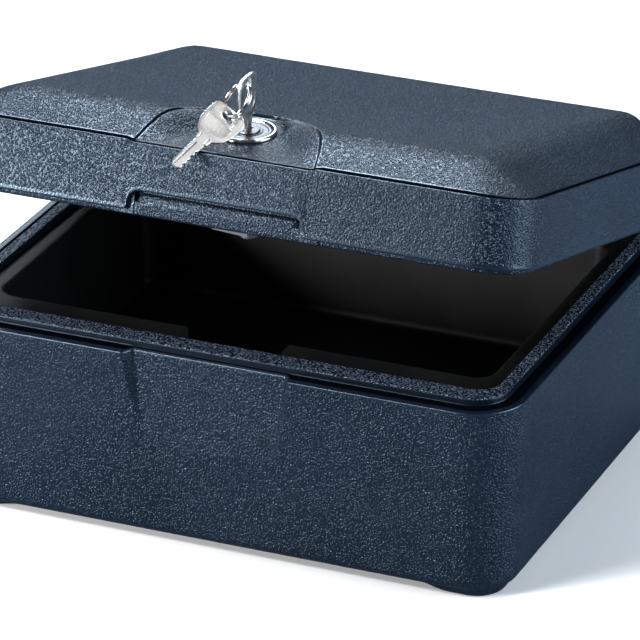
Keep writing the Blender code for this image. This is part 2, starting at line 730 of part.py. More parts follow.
def build_lid_inside(hinge, lock):
    offset = (0, -HINGE_Y, -HINGE_Z)

    def lid_cutter(name, mesh):
        return add_object(name, mesh, None, hinge, offset)

    inset = WALL + GAP
    bead_half = BODY_WIDTH / 2 - inset - SKIRT_DRAFT * 0.25
    bead_front = FRONT_Y + inset + SKIRT_DRAFT * 0.25
    plate = outline_block(
        "lid_liner",
        bead_half,
        bead_front,
        -bead_front,
        LINER_BASE_Z,
        LINER_PLATE_Z,
        CORNER_RADIUS - inset,
        roundings={"bottom": (1.6 * MM, 2)},
    )
    liner = add_object("lid_liner", plate, liner_plastic, hinge, offset)
    finger_bar = block_mesh(
        "finger_bar",
        Vector((-NOTCH_HALF + 4 * MM, bead_front, LINER_BASE_Z + 0.6 * MM)),
        Vector((NOTCH_HALF - 4 * MM, bead_front + 5 * MM, LID_BOTTOM_Z + NOTCH_HEIGHT + 2 * MM)),
        1.5 * MM,
        segments=2,
    )
    boolean(liner, "UNION", lid_cutter("finger_bar", finger_bar))
    dome = pocket_block("dome", LINER_WALL, LINER_PLATE_Z - OVERLAP)
    boolean(liner, "UNION", lid_cutter("dome", dome))
    groove = outline_block(
        "groove",
        BODY_WIDTH / 2 - LEDGE_WIDTH + BEAD_CLEARANCE,
        FRONT_Y + LEDGE_WIDTH - BEAD_CLEARANCE,
        BODY_DEPTH / 2 - LEDGE_WIDTH + BEAD_CLEARANCE,
        LINER_BASE_Z - OVERLAP,
        GROOVE_Z,
        CORNER_RADIUS - LEDGE_WIDTH + BEAD_CLEARANCE,
    )
    groove_cutter = lid_cutter("groove", groove)
    island = opening_block(
        "island", PLUG_CLEARANCE, LINER_BASE_Z - 2 * OVERLAP, GROOVE_Z + OVERLAP, 12 * MM
    )
    boolean(groove_cutter, "DIFFERENCE", lid_cutter("island", island))
    boolean(liner, "DIFFERENCE", groove_cutter)
    pocket = lid_cutter("pocket", pocket_block("pocket", 0, LINER_BASE_Z - OVERLAP))
    boss = block_mesh(
        "lock_boss",
        Vector((-25 * MM, OPENING_FRONT - 5 * MM, LINER_BASE_Z - 2 * OVERLAP)),
        Vector((25 * MM, LOCK_Y + 40 * MM, POCKET_CEILING_Z + OVERLAP)),
        8 * MM,
        segments=3,
    )
    boolean(pocket, "DIFFERENCE", lid_cutter("lock_boss", boss))
    boolean(liner, "DIFFERENCE", pocket)
    seat = block_mesh(
        "nut_seat",
        Vector((-BAY_HALF + 3 * MM, -18 * MM, -80 * MM)),
        Vector((BAY_HALF - 3 * MM, 48 * MM, -NUT_SEAT)),
    )
    boolean(liner, "DIFFERENCE", add_object("nut_seat", seat, None, lock))
    bore = cylinder_mesh("liner_lock_bore", BODY_TUBE_RADIUS + GAP, -70 * MM, 0, 32)
    boolean(liner, "DIFFERENCE", add_object("liner_lock_bore", bore, None, lock))

    insulation = lid_envelope("lid_insulation", inset, LINER_PLATE_Z + GAP, filling, hinge)
    boolean(insulation, "DIFFERENCE", pad_cutter("pad_clearance", inset, inset, lock))
    dome_room = pocket_block("dome_room", LINER_WALL + GAP, LINER_PLATE_Z - OVERLAP)
    boolean(insulation, "DIFFERENCE", lid_cutter("dome_room", dome_room))
    bar_room = block_mesh(
        "bar_room",
        Vector((-NOTCH_HALF + 3 * MM, FRONT_Y, LINER_PLATE_Z - OVERLAP)),
        Vector((NOTCH_HALF - 3 * MM, bead_front + 5.4 * MM, LID_BOTTOM_Z + NOTCH_HEIGHT + 2.4 * MM)),
    )
    boolean(insulation, "DIFFERENCE", lid_cutter("bar_room", bar_room))
    bore = cylinder_mesh("filling_lock_bore", BODY_TUBE_RADIUS + 2 * GAP, -70 * MM, 10 * MM, 32)
    boolean(insulation, "DIFFERENCE", add_object("filling_lock_bore", bore, None, lock))


def build_hinge_pins():
    for side, label in ((-1, "left"), (1, "right")):
        length = ARM_WIDTH + 2 * LUG_WIDTH + 1.2 * MM
        mesh = cylinder_mesh(f"hinge_pin_{label}", PIN_RADIUS, -length / 2, length / 2, 20)
        pin = add_object(f"hinge_pin_{label}", mesh, zinc)
        pin.location = (side * HINGE_OFFSET, HINGE_Y, HINGE_Z)
        pin.rotation_euler = (0, math.pi / 2, 0)


# ---------------------------------------------------------------- lock

def build_lock_case(lock):
    """The bezel, the body with its face and threaded tube, and the nut that clamps it."""
    bezel_profile = [
        (BEZEL_INNER + 0.5 * MM, BEZEL_HEIGHT),
        (BEZEL_RADIUS - 1.1 * MM, BEZEL_HEIGHT),
        (BEZEL_RADIUS - 0.3 * MM, BEZEL_HEIGHT * 0.7),
        (BEZEL_RADIUS, GAP + 0.3 * MM),
        (BEZEL_RADIUS, GAP),
        (BEZEL_INNER, GAP),
        (BEZEL_INNER, BEZEL_HEIGHT - 0.4 * MM),
    ]
    turned_object("lock_bezel", bezel_profile, polished_chrome, lock, 56)
    bore = PLUG_RADIUS + GAP
    face = BEZEL_INNER - GAP
    body_profile = [
        (bore, 1.3 * MM),
        (face, 1.3 * MM),
        (face, GAP),
        (BODY_TUBE_RADIUS, GAP),
        (BODY_TUBE_RADIUS, -TUBE_END),
        (bore, -TUBE_END),
    ]
    body = turned_object("lock_body", body_profile, polished_chrome, lock, 40)
    reach = PLUG_RADIUS + 1.1 * MM
    half = 2.7 * MM
    top = -WAFER_DEPTHS[0] + 1.5 * MM
    bottom = -WAFER_DEPTHS[-1] - 1.5 * MM
    for name, extent in (("ward_groove_y", (half, reach)), ("ward_groove_x", (reach, half))):
        lower = Vector((-extent[0], -extent[1], bottom))
        upper = Vector((extent[0], extent[1], top))
        boolean(body, "DIFFERENCE", add_object(name, block_mesh(name, lower, upper), None, lock))
    nut_top = -NUT_SEAT - GAP
    nut = cylinder_mesh("lock_nut", 14 * MM, nut_top - NUT_THICKNESS, nut_top, 6)
    nut_object = add_object("lock_nut", nut, zinc, lock)
    hole = cylinder_mesh("nut_hole", BODY_TUBE_RADIUS + GAP, -60 * MM, -40 * MM, 40)
    boolean(nut_object, "DIFFERENCE", add_object("nut_hole", hole, None, lock))


def build_plug(lock):
    """The plug with its keyway, wafer slots and square tail, and the wafers and their springs."""
    shaft_end = -TUBE_END - 1 * MM
    profile = [(0, 1.7 * MM), (PLUG_RADIUS - 0.4 * MM, 1.7 * MM), (PLUG_RADIUS, 1.3 * MM),
               (PLUG_RADIUS, shaft_end), (0, shaft_end)]
    plug = turned_object("lock_plug", profile, brass, lock, 40)
    tail = block_mesh(
        "plug_tail",
        Vector((-3.5 * MM, -3.5 * MM, -CAM_DEPTH - CAM_THICKNESS - GAP)),
        Vector((3.5 * MM, 3.5 * MM, shaft_end + OVERLAP)),
    )
    boolean(plug, "UNION", add_object("plug_tail", tail, None, lock))
    keyway = block_mesh(
        "keyway",
        Vector((-KEY_THICKNESS / 2 - GAP, -BLADE_WIDTH / 2 - GAP, -19 * MM)),
        Vector((KEY_THICKNESS / 2 + GAP, BLADE_WIDTH / 2 + GAP, 5 * MM)),
    )
    boolean(plug, "DIFFERENCE", add_object("keyway", keyway, None, lock))
    slot_half = WAFER_THICKNESS / 2 + GAP
    for number, depth in enumerate(WAFER_DEPTHS, 1):
        slot = block_mesh(
            f"wafer_slot_{number}",
            Vector((-2.5 * MM, -7 * MM, -depth - slot_half)),
            Vector((2.5 * MM, 7 * MM, -depth + slot_half)),
        )
        boolean(plug, "DIFFERENCE", add_object(slot.name, slot, None, lock))
        chamber = block_mesh(
            f"spring_chamber_{number}",
            Vector((2.2 * MM, -4.0 * MM, -depth - slot_half * 1.01)),
            Vector((4.6 * MM, 1.6 * MM, -depth + slot_half * 1.01)),
        )
        boolean(plug, "DIFFERENCE", add_object(chamber.name, chamber, None, lock))
        build_wafer(number, depth, lock)
        build_wafer_spring(number, depth, lock)
    thread = cylinder_mesh("tail_thread", 1.5 * MM + GAP, -70 * MM, -47 * MM, 16)
    boolean(plug, "DIFFERENCE", add_object("tail_thread", thread, None, lock))


def build_wafer(number, depth, lock):
    """A plate with a window for the blade and an ear at one side for its spring."""
    outline = [
        (-2.2, -5.6), (2.2, -5.6), (2.2, -1.0), (4.3, -1.0), (4.3, 0.4), (2.2, 0.4), (2.2, 5.6),
        (-2.2, 5.6),
    ]
    window = [(-1.25, -4.2), (-1.25, 3.35), (1.25, 3.35), (1.25, -4.2)]
    loops = [[(x * MM, y * MM) for x, y in loop] for loop in (outline, window)]
    mesh = flat_outline_mesh(f"wafer_{number}", loops, WAFER_THICKNESS)
    add_object(f"wafer_{number}", mesh, brass, lock, (0, 0, -depth))


def build_wafer_spring(number, depth, lock):
    turns = 4
    steps = 8
    radius = 0.45 * MM
    bottom = -3.85 * MM
    length = 2.4 * MM
    points = []
    for i in range(turns * steps + 1):
        angle = 2 * math.pi * i / steps
        along = bottom + length * i / (turns * steps)
        points.append((3.45 * MM + radius * math.cos(angle), along, radius * math.sin(angle)))
    mesh = wire_mesh(f"wafer_spring_{number}", points, 0.13 * MM, 0)
    add_object(f"wafer_spring_{number}", mesh, spring_steel, lock, (0, 0, -depth))


def build_cam(lock):
    """The cam points to the left when the lock is open; its tip turns under the strike."""
    hub = 7.5 * MM
    tip = 4.5 * MM
    straight = CAM_REACH - tip
    outline = arc((0, 0), hub, -75, 75, 13) + arc((-straight, 0), tip, 90, 270, 9)
    square = 3.5 * MM + GAP
    hole = [(-square, -square), (-square, square), (square, square), (square, -square)]
    mesh = flat_outline_mesh("lock_cam", [outline, hole], CAM_THICKNESS)
    middle = -CAM_DEPTH - CAM_THICKNESS / 2
    add_object("lock_cam", mesh, zinc, lock, (0, 0, middle))
    seat = -CAM_DEPTH - CAM_THICKNESS - 2 * GAP
    profile = [
        (0, seat + 9 * MM),
        (1.5 * MM, seat + 8 * MM),
        (1.5 * MM, seat),
        (5.5 * MM, seat),
        (5.5 * MM, seat - 1.2 * MM),
        (3.4 * MM, seat - 2.8 * MM),
        (0, seat - 2.8 * MM),
    ]
    turned_object("cam_screw", profile, zinc, lock, 20)


# ---------------------------------------------------------------- keys

def key_mesh(name):
    """A flat key in the XY plane: the hole's centre at the origin and the tip towards -Y."""
    top = KEY_HOLE_INSET
    centre = (0, top - BOW_LENGTH / 2)
    power = 2 / 2.7
    bow = []
    neck_half = NECK_WIDTH / 2
    for i in range(33):
        angle = math.radians(-64 + (244 - -64) * i / 32)
        c = math.cos(angle)
        s = math.sin(angle)
        x = BOW_WIDTH / 2 * math.copysign(abs(c) ** power, c)
        y = BOW_LENGTH / 2 * math.copysign(abs(s) ** power, s)
        bow.append((centre[0] + x, centre[1] + y))
    neck_top = top - BOW_LENGTH
    neck_end = neck_top - 4 * MM
    tip = top - KEY_LENGTH
    blade_half = BLADE_WIDTH / 2
    left = [(-neck_half, neck_top + 0.5 * MM), (-neck_half, neck_end)]
    left += [(-blade_half, neck_end - MM), (-blade_half, tip + 2.5 * MM)]
    end = [(-blade_half + 2 * MM, tip), (blade_half - 1.6 * MM, tip)]
    bitting = [(blade_half, tip + 2 * MM)]
    for number, cut in enumerate((1.0, 0.5, 1.2, 0.7)):
        y = tip + (3.5 + 3.6 * number) * MM
        depth = blade_half - cut * MM
        bitting += [(blade_half, y), (depth, y + 0.8 * MM), (depth, y + 1.6 * MM)]
        bitting += [(blade_half, y + 2.4 * MM)]
    right = [(blade_half, neck_end - MM), (neck_half, neck_end), (neck_half, neck_top + 0.5 * MM)]
    outline = bow + left + end + bitting + right
    hole = arc((0, 0), KEY_HOLE_RADIUS, 360, 15, 24)
    return flat_outline_mesh(name, [outline, hole], KEY_THICKNESS)


def build_keys(lock):
    upright = Matrix(((0, 0, -1), (-1, 0, 0), (0, 1, 0))).to_euler()
    key_axis = add_empty("key_slide_axis", (0, 0, KEY_HOLE_ABOVE_PAD), (0, 0, 0), lock)
    key = add_object("key_in_lock", key_mesh("key_in_lock"), nickel, key_axis)
    key.rotation_euler = upright

    down = RING_HANGS.normalized()
    across = (RING_ACROSS - RING_ACROSS.dot(down) * down).normalized()
    ring_axis = add_empty("ring_swing_axis", (0, 0, KEY_HOLE_ABOVE_PAD), (0, 0, 0), lock)
    ring = add_object("key_ring", ring_mesh("key_ring"), nickel, ring_axis)
    ring.rotation_euler = Matrix((across, down, across.cross(down))).transposed().to_euler()

    spare_hole = Vector((0, 0, KEY_HOLE_ABOVE_PAD)) + 2 * RING_RADIUS * down
    along = -SPARE_POINTS.normalized()
    face = (SPARE_FACE - SPARE_FACE.dot(along) * along).normalized()
    spare_axis = add_empty("spare_key_axis", spare_hole, (0, 0, 0), lock)
    spare = add_object("spare_key", key_mesh("spare_key"), nickel, spare_axis)
    spare.rotation_euler = Matrix((along.cross(face), along, face)).transposed().to_euler()


def ring_mesh(name):
    """A split ring: two turns of wire, through the origin, with its centre towards +Y."""
    turns = 1.9
    steps = 30
    pitch = 2 * RING_WIRE + 0.1 * MM
    count = int(turns * steps)
    points = []
    for i in range(count + 1):
        angle = -math.pi / 2 - math.pi * turns + 2 * math.pi * turns * i / count
        x = RING_RADIUS * math.cos(angle)
        y = RING_RADIUS + RING_RADIUS * math.sin(angle)
        z = pitch * turns * (i / count - 0.5)
        points.append((x, y, z))
    return wire_mesh(name, points, RING_WIRE, 1)


# ---------------------------------------------------------------- assembly

build_base_shell()
build_base_inside()
build_strike()
build_hinge_pins()

hinge_frame = add_empty("lid_hinge_axis", (0, HINGE_Y, HINGE_Z), (-LID_OPEN_AT_REST, 0, 0))
lock_frame = add_empty(
    "lock_axis", (0, LOCK_Y - HINGE_Y, LOCK_Z - HINGE_Z), (PAD_SLOPE, 0, 0), hinge_frame
)
build_lid_shell(hinge_frame, lock_frame)
build_lid_inside(hinge_frame, lock_frame)
build_lock_case(lock_frame)
build_plug(lock_frame)
build_cam(lock_frame)
build_keys(lock_frame)
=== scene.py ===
"""Fireproof document box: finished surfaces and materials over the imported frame.

Shapes are laid out in millimetres in three frames: the base's, the closed lid's and the lock's.
Each piece's mesh is moved to its place in the box; its "place" attribute keeps its own frame.
"""

import math

import bmesh
import bpy
import numpy as np
from mathutils import Matrix, Vector


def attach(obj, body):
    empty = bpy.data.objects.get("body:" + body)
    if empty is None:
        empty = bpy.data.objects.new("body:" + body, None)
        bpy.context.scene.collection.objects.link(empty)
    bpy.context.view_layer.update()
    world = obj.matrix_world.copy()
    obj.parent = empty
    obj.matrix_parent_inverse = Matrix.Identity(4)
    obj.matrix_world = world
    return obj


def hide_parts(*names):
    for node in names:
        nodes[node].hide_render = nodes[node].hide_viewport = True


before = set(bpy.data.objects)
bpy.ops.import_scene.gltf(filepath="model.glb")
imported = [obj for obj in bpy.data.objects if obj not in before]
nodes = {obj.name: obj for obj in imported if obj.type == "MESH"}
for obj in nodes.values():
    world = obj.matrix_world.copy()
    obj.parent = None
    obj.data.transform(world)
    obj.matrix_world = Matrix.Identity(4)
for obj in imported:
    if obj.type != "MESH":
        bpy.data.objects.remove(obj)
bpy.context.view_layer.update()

MM = 0.001

# Base, in millimetres from the middle of its plan.
BODY_HALF = 177.5
BODY_HALF_DEPTH = 142.5
BODY_RADIUS = 30.0
LEDGE_Z = 115.5
UNDERSIDE_Z = 4.5
SHELL_FLOOR_Z = 7.5
CORNER_LEAST = 1.5
BASE_DRAFT = 4.3
LEDGE_WIDTH = 10.0
TONGUE_Z = 119.7
EDGE_START_Z = 113.4
WALL = 3.0
LINER_WALL = 2.2
FLANGE_Z = 115.0
# Plans as (half width, front, rear, corner radius).
OPENING = (160.0, -119.5, 122.5, 13.0)
CAVITY = (148.0, -95.0, 97.5, 10.0)
CAVITY_FLOOR_Z = 42.0
CAVITY_DRAFT = 3.6
BAY_HALF = 31.0
BAY_FRONT = -116.9
BAY_FLOOR_Z = 83.0

# Finger recess in the front of the base.
RECESS_TOP_HALF = 51.5
RECESS_BOTTOM_HALF = 41.5
RECESS_FADE_Z = 60.0
RECESS_CREASE = 5.0

# Closed lid.
LID_BOTTOM_Z = 119.2
LID_TOP_Z = 174.0
SKIRT_TOP_Z = 157.7
SKIRT_DRAFT = 1.4
SKIRT_HEIGHT = 38.5
SHOULDER_FOOT_Z = 155.7
SHOULDER_START = 2.8
SHOULDER_SIDE = 34.2
SHOULDER_FRONT = 27.2
SHOULDER_REAR = 6.2
TOP_CORNER_FRONT = 8.0
TOP_CORNER_REAR = 2.5
NOTCH_HALF = 52.5
NOTCH_HEIGHT = 11.3
NOTCH_RADIUS = 8.0
PAD_SLOPE = math.radians(15.5)
PAD_HALF = 53.5
PAD_ARCH = 58.0
PAD_COVE = 21.0
PAD_STEP = 1.0
CROWN_WALL = 3.2
BEAD_GAP = 0.3
BAR_REACH = 17.0

# The rings of a shell stop at these insets, and a cap closes the middle.
BASE_CAP = 60
LID_CAP = 62

# Values of the grain attribute, which steers the shell's plastic: -1 paints shade, 3 paints light
# on the grains' tops.
PAINTED_SHADE_GRAIN = -1.0
PLAIN_GRAIN = 1.0
PAINTED_LIGHT_GRAIN = 3.0

# Hinge.
HINGE = Vector((0, 149.8, 103.0))
HINGE_X = 115
PIN_BORE = 2.3
KNUCKLE_RADIUS = 6.5
LID_TURN = math.radians(-15.1)

# Lock, keys and ring.
LOCK_AT = Vector((0, -105.5, SHOULDER_FOOT_Z + 37.0 * math.tan(PAD_SLOPE)))
LOCK_BORE = 9.3
PLUG_RADIUS = 6.2
WAFER_DEPTHS = (4.5, 7.5, 10.5, 13.5)
WAFER_SLOT_HALF = 0.75
WARD_HALF = 2.7
WARD_REACH = 7.3
KEY_HOLE_AT = Vector((0, 0, 29.0))
KEY_HOLE = 3.2
KEY_THICKNESS = 1.8
SHANK_HALF = 3.2
RING_RADIUS = 10.4
RING_WIRE = 0.72

# From the middle of the base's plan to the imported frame's origin.
FRAME_SHIFT = Vector((0, -6.9, 0))

SHARP_ANGLE = math.radians(40)


def placed(offset):
    """A move by millimetres."""
    return Matrix.Translation(offset * MM)


BASE = placed(FRAME_SHIFT)
LID = BASE @ placed(HINGE) @ Matrix.Rotation(LID_TURN, 4, "X") @ placed(-HINGE)
LOCK_IN_LID = placed(LOCK_AT) @ Matrix.Rotation(PAD_SLOPE, 4, "X")
LOCK = LID @ LOCK_IN_LID


# ---- materials

class Nodes:
    """A material's node tree, with short calls to add and join its nodes."""

    def __init__(self, name, own_place=False):
        self.material = bpy.data.materials.new(name)
        self.material.use_nodes = True
        self.tree = self.material.node_tree
        self.shader = self.tree.nodes["Principled BSDF"]
        if own_place:
            stored = self.add("ShaderNodeAttribute", attribute_name="place")
            self.place = stored.outputs["Vector"]
        else:
            self.place = self.add("ShaderNodeTexCoord").outputs["Object"]

    def add(self, kind, inputs=None, **settings):
        made = self.tree.nodes.new(kind)
        for key, value in settings.items():
            setattr(made, key, value)
        for key, value in (inputs or {}).items():
            self.feed(made.inputs[key], value)
        return made

    def feed(self, socket, value):
        if isinstance(value, bpy.types.NodeSocket):
            self.tree.links.new(value, socket)
        elif isinstance(value, tuple) and len(value) == 3 and socket.type == "RGBA":
            socket.default_value = (*value, 1)
        else:
            socket.default_value = value

    def maths(self, operation, first, second=0.0, clamp=False):
        made = self.add("ShaderNodeMath", {0: first, 1: second}, operation=operation)
        made.use_clamp = clamp
        return made.outputs[0]

    def times(self, first, second):
        return self.maths("MULTIPLY", first, second)

    def plus(self, first, second):
        return self.maths("ADD", first, second)

    def vector(self, operation, inputs):
        return self.add("ShaderNodeVectorMath", inputs, operation=operation).outputs

    def noise(self, per_mm, detail=2.0, place=None, roughness=0.5):
        place = place or self.place
        inputs = {"Vector": place, "Scale": per_mm / MM, "Detail": detail, "Roughness": roughness}
        return self.add("ShaderNodeTexNoise", inputs).outputs["Fac"]

    def span(self, value, low, high, to_low=0.0, to_high=1.0, smooth=True):
        inputs = {0: value, 1: low, 2: high, 3: to_low, 4: to_high}
        made = self.add("ShaderNodeMapRange", inputs)
        made.interpolation_type = "SMOOTHSTEP" if smooth else "LINEAR"
        return made.outputs[0]

    def mix(self, share, first, second):
        inputs = {0: share, 6: first, 7: second}
        return self.add("ShaderNodeMix", inputs, data_type="RGBA").outputs[2]

    def bump(self, height, depth_mm, strength=1.0):
        inputs = {"Height": height, "Distance": depth_mm * MM, "Strength": strength}
        return self.add("ShaderNodeBump", inputs).outputs["Normal"]

    def finish(self, **inputs):
        for key, value in inputs.items():
            self.feed(self.shader.inputs[key.replace("_", " ")], value)
        return self.material


# Tones of the painted shade and the painted light on the shell's plastic.
PAINTED_SHADE_TONE = (0.001, 0.0015, 0.003)
PAINTED_LIGHT_TONE = (0.105, 0.130, 0.175)


def pebbled_plastic(name, colour, worn, sheen, pitch_mm, depth_mm):
    """Moulded plastic with a pebble grain, steered by the mesh's grain attribute.

    From 0 to 1 the attribute is the grain's depth. Below 0, down to -1, the surface is smooth
    with painted shade: a near-black tone and a dulled specular level. From 1 to 2 coarser grains
    glint, and their specular level, dropped between them, paints the shade they cast on each
    other. From 2 to 3 the grains' tops get painted light.
    """
    n = Nodes(name)
    marked = n.add("ShaderNodeAttribute", attribute_name="grain").outputs["Fac"]
    grain = n.maths("MULTIPLY", marked, 1.0, clamp=True)
    # Below 0 the attribute marks painted shade.
    shade_share = n.maths("MULTIPLY", marked, -1.0, clamp=True)
    coarser = n.maths("SUBTRACT", marked, 1.0, clamp=True)
    drift = n.add("ShaderNodeTexNoise", {"Vector": n.place, "Scale": 0.5 / MM, "Detail": 1.0})
    offset = n.vector("SUBTRACT", {0: drift.outputs["Color"], 1: (0.5, 0.5, 0.5)})[0]
    scaled = n.vector("SCALE", {0: offset, "Scale": 0.5 * pitch_mm * MM})[0]
    bent = n.vector("ADD", {0: n.place, 1: scaled})[0]
    inputs = {"Vector": bent, "Scale": 1 / (pitch_mm * MM), "Smoothness": 0.35}
    cells = n.add("ShaderNodeTexVoronoi", inputs, feature="SMOOTH_F1")
    domes = n.span(cells.outputs["Distance"], 0.12, 0.62, 1.0, 0.0)
    fine = n.noise(2.6)
    drawn = n.add("ShaderNodeMapping", {"Vector": n.place, "Scale": (1.0, 0.3, 1.0)})
    coarse = n.span(n.noise(0.8, 2.0, drawn.outputs[0]), 0.3, 0.7)
    height = n.plus(domes, n.times(fine, 0.22))
    share = n.span(coarser, 0.0, 1.0, 0.2, 0.7, smooth=False)
    height = n.plus(height, n.times(coarse, share))
    broad = n.noise(0.012, 3.0)
    strength = n.times(grain, n.span(broad, 0.3, 0.7, 0.85, 1.0))
    normal = n.bump(height, depth_mm, strength)
    tone = n.mix(n.span(broad, 0.3, 0.7, 0.0, 0.25), colour, worn)
    tops = n.times(domes, n.times(grain, 0.35))
    tone = n.mix(tops, tone, worn)
    edge = n.add("ShaderNodeNewGeometry").outputs["Pointiness"]
    rubbed = n.span(edge, 0.53, 0.62, 0.0, 0.5)
    tone = n.mix(rubbed, tone, worn)
    # Painted light: the grains' tops turn pale where the attribute runs from 2 to 3.
    pale = n.maths("SUBTRACT", marked, 2.0, clamp=True)
    tone = n.mix(n.times(pale, domes), tone, PAINTED_LIGHT_TONE)
    # Painted shade: a near-black tone where the attribute is below 0.
    tone = n.mix(shade_share, tone, PAINTED_SHADE_TONE)
    # A lower specular level in the pits between pebbles paints the shade in them.
    pits = n.span(n.times(n.maths("SUBTRACT", 1.0, domes), grain), 0.1, 0.75)
    shine = n.span(pits, 0.0, 1.0, 0.62, 0.36, smooth=False)
    # On coarser grains the specular level swings from glinting tops down to almost none, which
    # paints the shade the grains cast on each other.
    glints = n.plus(n.times(coarse, 0.7), n.times(domes, 0.3))
    glints = n.span(glints, 0.3, 0.7, 0.03, 1.0)
    more = n.times(n.maths("SUBTRACT", glints, shine), coarser)
    shine = n.plus(shine, more)
    # The painted shade also dulls the specular level.
    shine = n.times(shine, n.maths("SUBTRACT", 1.0, shade_share))
    roughness = n.plus(n.span(fine, 0.3, 0.7, 0.24, 0.36), n.times(rubbed, -0.06))
    return n.finish(
        Base_Color=tone,
        Roughness=roughness,
        Normal=normal,
        Specular_IOR_Level=shine,
        Specular_Tint=sheen,
        IOR=1.5,
    )


def satin_plastic(name, colour, lighter, low, high):
    """Smooth moulded plastic with a faint flow pattern and light scuffs."""
    n = Nodes(name)
    broad = n.noise(0.03, 4.0)
    fine = n.noise(1.8)
    stretched = n.add("ShaderNodeMapping", {"Vector": n.place, "Scale": (0.08, 1.0, 1.0)})
    scuffs = n.noise(0.9, 5.0, stretched.outputs[0], 0.7)
    marks = n.span(scuffs, 0.6, 0.72)
    tone = n.mix(n.span(broad, 0.35, 0.65, 0.0, 0.6), colour, lighter)
    tone = n.mix(n.times(marks, 0.25), tone, lighter)
    roughness = n.plus(n.span(fine, 0.3, 0.7, low, high), n.times(marks, 0.08))
    normal = n.bump(fine, 0.03, 0.5)
    return n.finish(
        Base_Color=tone, Roughness=roughness, Normal=normal, Specular_IOR_Level=0.2, IOR=1.49
    )


def cast_filling(name):
    """Pale cast mineral with open pores."""
    n = Nodes(name)
    coarse = n.noise(0.25, 6.0, roughness=0.65)
    pores = n.add("ShaderNodeTexVoronoi", {"Vector": n.place, "Scale": 0.4 / MM})
    holes = n.span(pores.outputs["Distance"], 0.05, 0.3)
    height = n.plus(coarse, holes)
    tone = n.mix(coarse, (0.48, 0.46, 0.42), (0.70, 0.68, 0.63))
    return n.finish(Base_Color=tone, Roughness=0.95, Normal=n.bump(height, 0.5, 0.8))


def metal(name, colour, tarnish, low, high, brushed=None, depth_mm=0.01, turned=False):
    """Bare or plated metal: brushed along an axis, turned about Z, or plain with fine marks."""
    n = Nodes(name, own_place=turned or brushed is not None)
    place = n.place
    if turned:
        split = n.add("ShaderNodeSeparateXYZ", {0: n.place})
        across = n.maths("POWER", split.outputs["X"], 2.0)
        along = n.maths("POWER", split.outputs["Y"], 2.0)
        radius = n.maths("SQRT", n.plus(across, along))
        place = n.add("ShaderNodeCombineXYZ", {"X": radius, "Z": split.outputs["Z"]}).outputs[0]
    elif brushed:
        place = n.add("ShaderNodeMapping", {"Vector": n.place, "Scale": brushed}).outputs[0]
    lines = n.noise(6.0, 3.0, place)
    broad = n.noise(0.12, 4.0)
    spots = n.span(n.noise(0.8, 5.0, roughness=0.7), 0.56, 0.7)
    tone = n.mix(n.span(broad, 0.4, 0.7, 0.0, 0.5), colour, tarnish)
    tone = n.mix(n.times(spots, 0.35), tone, tarnish)
    roughness = n.plus(n.span(lines, 0.3, 0.7, low, high), n.times(spots, 0.1))
    normal = n.bump(lines, depth_mm, 0.6)
    return n.finish(Base_Color=tone, Metallic=1.0, Roughness=roughness, Normal=normal)


SHELL = pebbled_plastic(
    "moulded_pebble_plastic",
    colour=(0.0024, 0.0052, 0.0110),
    worn=(0.009, 0.016, 0.028),
    sheen=(0.62, 0.81, 1.0),
    pitch_mm=1.25,
    depth_mm=0.4,
)
LINER = satin_plastic(
    "liner_plastic_satin", (0.003, 0.0033, 0.0035), (0.008, 0.008, 0.0075), 0.42, 0.56
)
FILLING = cast_filling("cast_mineral_filling")
CHROME = metal("bright_chrome", (0.88, 0.89, 0.90), (0.70, 0.71, 0.73), 0.05, 0.11, depth_mm=0.002)
# A chrome darkened far below its own brightness: painted shade that keeps the lock's face grey
# under the bright lights.
SHADED_CHROME = metal(
    "shaded_satin_chrome_turned", (0.15, 0.153, 0.16), (0.09, 0.093, 0.10), 0.24, 0.36, turned=True
)
PLUG_METAL = metal(
    "plug_nickel_turned", (0.16, 0.16, 0.16), (0.10, 0.097, 0.094), 0.24, 0.36, turned=True
)
NICKEL = metal(
    "key_nickel_brushed", (0.80, 0.78, 0.76), (0.60, 0.57, 0.52), 0.2, 0.34, brushed=(1, 0.05, 1)
)
RING_STEEL = metal("ring_nickel", (0.78, 0.77, 0.76), (0.5, 0.49, 0.47), 0.1, 0.2)
ZINC = metal("zinc_plated_steel", (0.58, 0.59, 0.60), (0.42, 0.42, 0.38), 0.28, 0.45)
DULL_ZINC = metal("dull_zinc", (0.16, 0.165, 0.175), (0.09, 0.09, 0.085), 0.4, 0.55)
BRASS = metal("stamped_brass", (0.80, 0.60, 0.27), (0.52, 0.36, 0.15), 0.2, 0.35)
SPRING = metal("spring_wire", (0.60, 0.61, 0.63), (0.4, 0.4, 0.42), 0.2, 0.35)

WAFERS = (1, 2, 3, 4)
CAD_NODE_MATERIALS = (
    (FILLING, ["base_insulation", "lid_insulation"]),
    (ZINC, ["strike_plate", "strike_screw_left", "strike_screw_right"]),
    (ZINC, ["hinge_pin_left", "hinge_pin_right"]),
    (DULL_ZINC, ["lock_nut", "lock_cam", "cam_screw"]),
    (BRASS, [f"wafer_{i}" for i in WAFERS]),
    (SPRING, [f"wafer_spring_{i}" for i in WAFERS]),
)


# ---- building blocks

